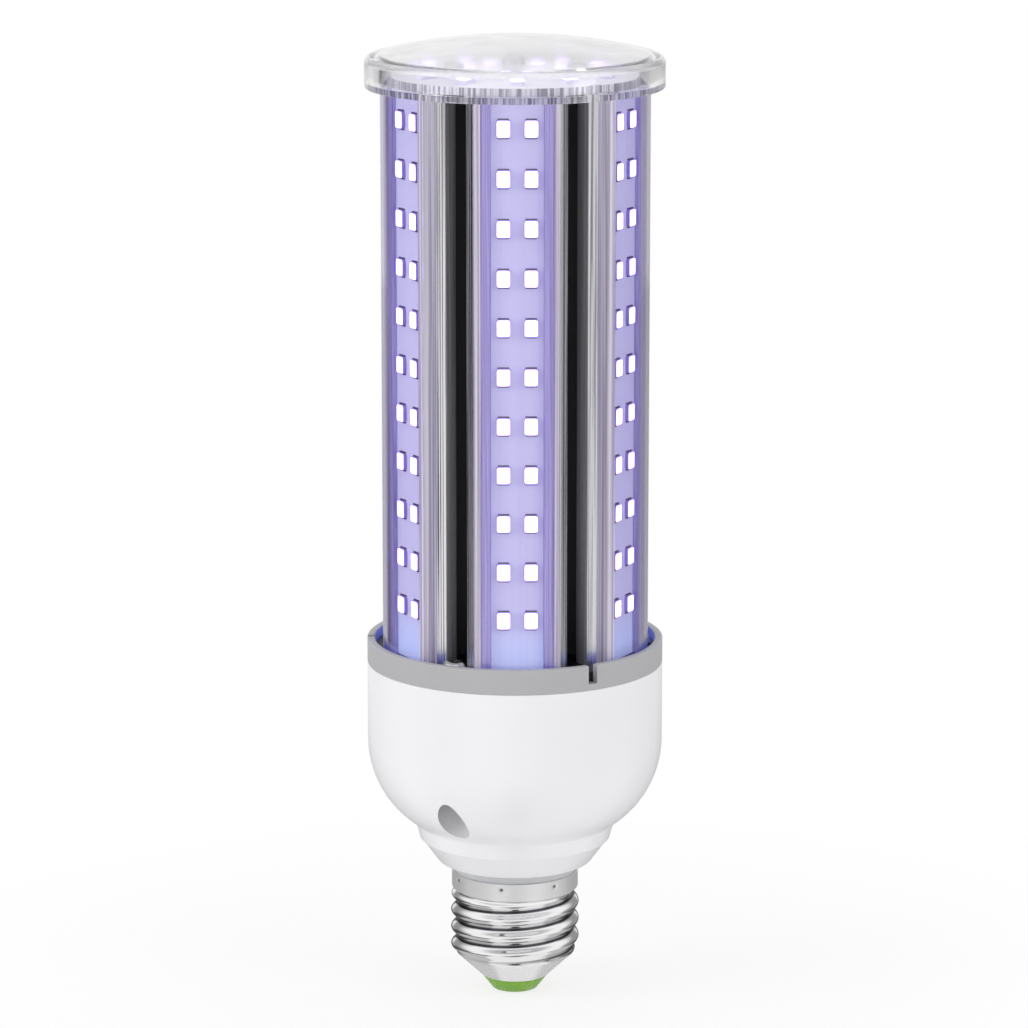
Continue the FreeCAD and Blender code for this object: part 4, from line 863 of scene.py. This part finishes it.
# Studio: a white floor under the lamp's tip, a white surround, and soft boxes to the left, the right and above.
# Both are white where they are seen. Bright metal mirrors light and dark areas in them in place of the boxes.
FLOOR_HALF = 4.0
FLOOR_SHOW, SHADOW_EDGE = 0.8, (0.03, 0.16)
MID_FLOOR, ASIDE_EDGE, LEFT_SHIFT = (0.15, 0.3), (0.76, 0.88), 0.14
builder = bmesh.new()
bmesh.ops.create_grid(builder, x_segments=1, y_segments=1, size=FLOOR_HALF)
floor = new_piece("studio_floor", builder)
paper, tree, shader = new_material("white_paper", {"Base Color": linear("#F6F6F6"), "Roughness": 0.9})
path = add(tree, "ShaderNodeLightPath").outputs
seen = wire(tree, "Math MAXIMUM", path["Is Camera Ray"], path["Is Transmission Ray"])
mirrored = path["Is Glossy Ray"]
place = add(tree, "ShaderNodeTexCoord").outputs["Object"]
away = add(tree, "ShaderNodeVectorMath", {"operation": "LENGTH"}, {0: place}).outputs["Value"]
x, y, _ = add(tree, "ShaderNodeSeparateXYZ", inputs={0: place}).outputs
far = wire(tree, SMOOTH, away, *MID_FLOOR, 0.0, 1.0)
# As metal mirrors it, the floor is white ahead and dim to either side, most of all far off on the left
side = wire(tree, "Math DIVIDE", x, away)
aside = wire(tree, "Math MAXIMUM", side, wire(tree, "Math SUBTRACT", LEFT_SHIFT, side))
far_sides = wire(tree, SMOOTH, x, -0.1, 0.1, 0.03, 0.18)
dim = wire(tree, SMOOTH, aside, *ASIDE_EDGE, 1.0, wire(tree, SMOOTH, away, *MID_FLOOR, 0.6, far_sides))
# Behind the lamp it is dark close by, and grey further off
dim = wire(tree, "Math MULTIPLY", dim, wire(tree, "Math MAXIMUM", wire(tree, SMOOTH, y, 0.0, 0.02, 1.0, 0.15), far))
rear = wire(tree, "Math MAXIMUM", wire(tree, SMOOTH, y, 0.1, 0.3, 1.0, 0.6),
            wire(tree, SMOOTH, away, 0.75, 0.95, 0.0, 0.8))
shaded = wire(tree, "Math MULTIPLY", wire(tree, SMOOTH, x, 0.0, 0.1, 1.0, 0.78), rear)
dim = wire(tree, "Math MULTIPLY", dim, wire(tree, "Math MAXIMUM", shaded, wire(tree, "Math SUBTRACT", 1.0, far)))
# The camera's shadow lies down the middle, close in front of the lamp
ends = wire(tree, "Math MAXIMUM", wire(tree, SMOOTH, y, -0.04, -0.03, 0.1, 1.0),
            wire(tree, SMOOTH, away, 0.1, 0.12, 0.1, 1.0))
middle = wire(tree, "Math MAXIMUM", wire(tree, SMOOTH, wire(tree, "Math ABSOLUTE", x), 0.004, 0.014, 0.1, 1.0), ends)
shown = wire(tree, "Math MULTIPLY", seen, wire(tree, SMOOTH, away, *SHADOW_EDGE, FLOOR_SHOW, 1.0))
share = wire(tree, "Math MAXIMUM", mirrored, shown)
level = add(tree, "ShaderNodeMix", inputs={0: mirrored, 2: 1.0, 3: wire(tree, "Math MULTIPLY", dim, middle)})
white = add(tree, "ShaderNodeEmission", inputs={"Color": linear("#FFFFFF"), "Strength": level})
mix = add(tree, "ShaderNodeMixShader", inputs={0: share, 1: shader, 2: white})
tree.links.new(mix.outputs[0], tree.nodes["Material Output"].inputs["Surface"])
paper.cycles.emission_sampling = "NONE"
floor.data.materials.append(paper)

# The surround, as metal mirrors it: boxes half way up, a dim ceiling, sides and left, and a dark room ahead
AMBIENT, ROOM, SIDES, LEFT, BOXES, BACK, CEILING = 0.6, 0.15, 0.35, 0.05, 1.1, 1.1, 0.45
world = bpy.data.worlds.new("white_surround")
bpy.context.scene.world = world
world.use_nodes = True
tree = world.node_tree
look = add(tree, "ShaderNodeTexCoord").outputs["Generated"]
right, behind, up = add(tree, "ShaderNodeSeparateXYZ", inputs={0: look}).outputs
front = steps_of(tree, (behind, -0.95, -0.86, 1.0, 0.0), (up, 0.35, 0.5, 1.0, 0.0))
sides = steps_of(tree, (behind, -0.1, 0.15, 0.0, 1.0), (behind, 0.85, 0.96, 1.0, 0.0), (up, 0.3, 0.6, 1.0, 0.0))
left = steps_of(tree, (right, -0.85, -0.55, 1.0, 0.0), (up, 0.1, 0.3, 1.0, 0.0))
sky = steps_of(tree, (up, 0.25, 0.45, 1.0, BOXES), (up, 0.7, 0.9, 1.0, CEILING), (behind, 0.4, 0.7, 1.0, BACK))
path = add(tree, "ShaderNodeLightPath").outputs
seen = wire(tree, "Math MAXIMUM", path["Is Camera Ray"], path["Is Transmission Ray"])
for share, level in ((sides, SIDES), (left, LEFT), (front, ROOM)):
    sky = add(tree, "ShaderNodeMix", inputs={0: share, 2: sky, 3: level})
lit = add(tree, "ShaderNodeMix", inputs={0: path["Is Glossy Ray"], 2: AMBIENT, 3: sky})
strength = add(tree, "ShaderNodeMix", inputs={0: seen, 2: lit, 3: 1.0})
surround = tree.nodes["Background"]
surround.inputs["Color"].default_value = linear("#FFFFFF")
tree.links.new(strength.outputs[0], surround.inputs["Strength"])


def soft_box(name, place, size, power):
    """A rectangular area lamp at a place in metres, aimed at the lamp's middle, which metal doesn't mirror."""
    lamp = bpy.data.lights.new(name, "AREA")
    lamp.shape = "RECTANGLE"
    lamp.size, lamp.size_y = size
    lamp.energy = power
    holder = bpy.data.objects.new(name, lamp)
    holder.location = place
    holder.rotation_euler = (LAMP_MIDDLE - Vector(place)).to_track_quat("-Z", "Y").to_euler()
    holder.visible_glossy = False
    bpy.context.scene.collection.objects.link(holder)


LAMP_MIDDLE = Vector((0, 0, 0.09))
soft_box("left_box", (-1.0, -0.38, 0.5), (0.5, 0.8), 5.0)
soft_box("right_box", (0.85, -0.55, 0.4), (0.4, 0.8), 2.8)
soft_box("top_box", (0.0, 0.1, 1.0), (0.7, 0.7), 1.5)

# Camera: fitted to the photograph, with a long lens nearly a metre off, a little above the lamp and a degree
# to its left. The picture keeps its plain colours.
DISTANCE, ELEVATION, AZIMUTH = 0.9438, 12.47, -1.11
SENSOR, FOCAL_LENGTH = 36.0, 163.2
AXIS_LEVEL, AIM_LEVEL, AIM_LEFT = 0.096, 0.10015, 0.00018
lens = bpy.data.cameras.new("camera")
lens.sensor_width, lens.lens = SENSOR, FOCAL_LENGTH
lens.clip_start, lens.clip_end = 0.05, 20.0
camera = bpy.data.objects.new("camera", lens)
bpy.context.scene.collection.objects.link(camera)
around, above = math.radians(AZIMUTH), math.radians(ELEVATION)
back = Vector((math.sin(around) * math.cos(above), -math.cos(around) * math.cos(above), math.sin(above)))
camera.location = Vector((0, 0, AXIS_LEVEL)) + back * DISTANCE
aim = Vector((0, 0, AIM_LEVEL)) - Vector((math.cos(around), math.sin(around), 0)) * AIM_LEFT
camera.rotation_euler = (aim - camera.location).to_track_quat("-Z", "Y").to_euler()
bpy.context.scene.camera = camera
bpy.context.scene.view_settings.view_transform = "Standard"
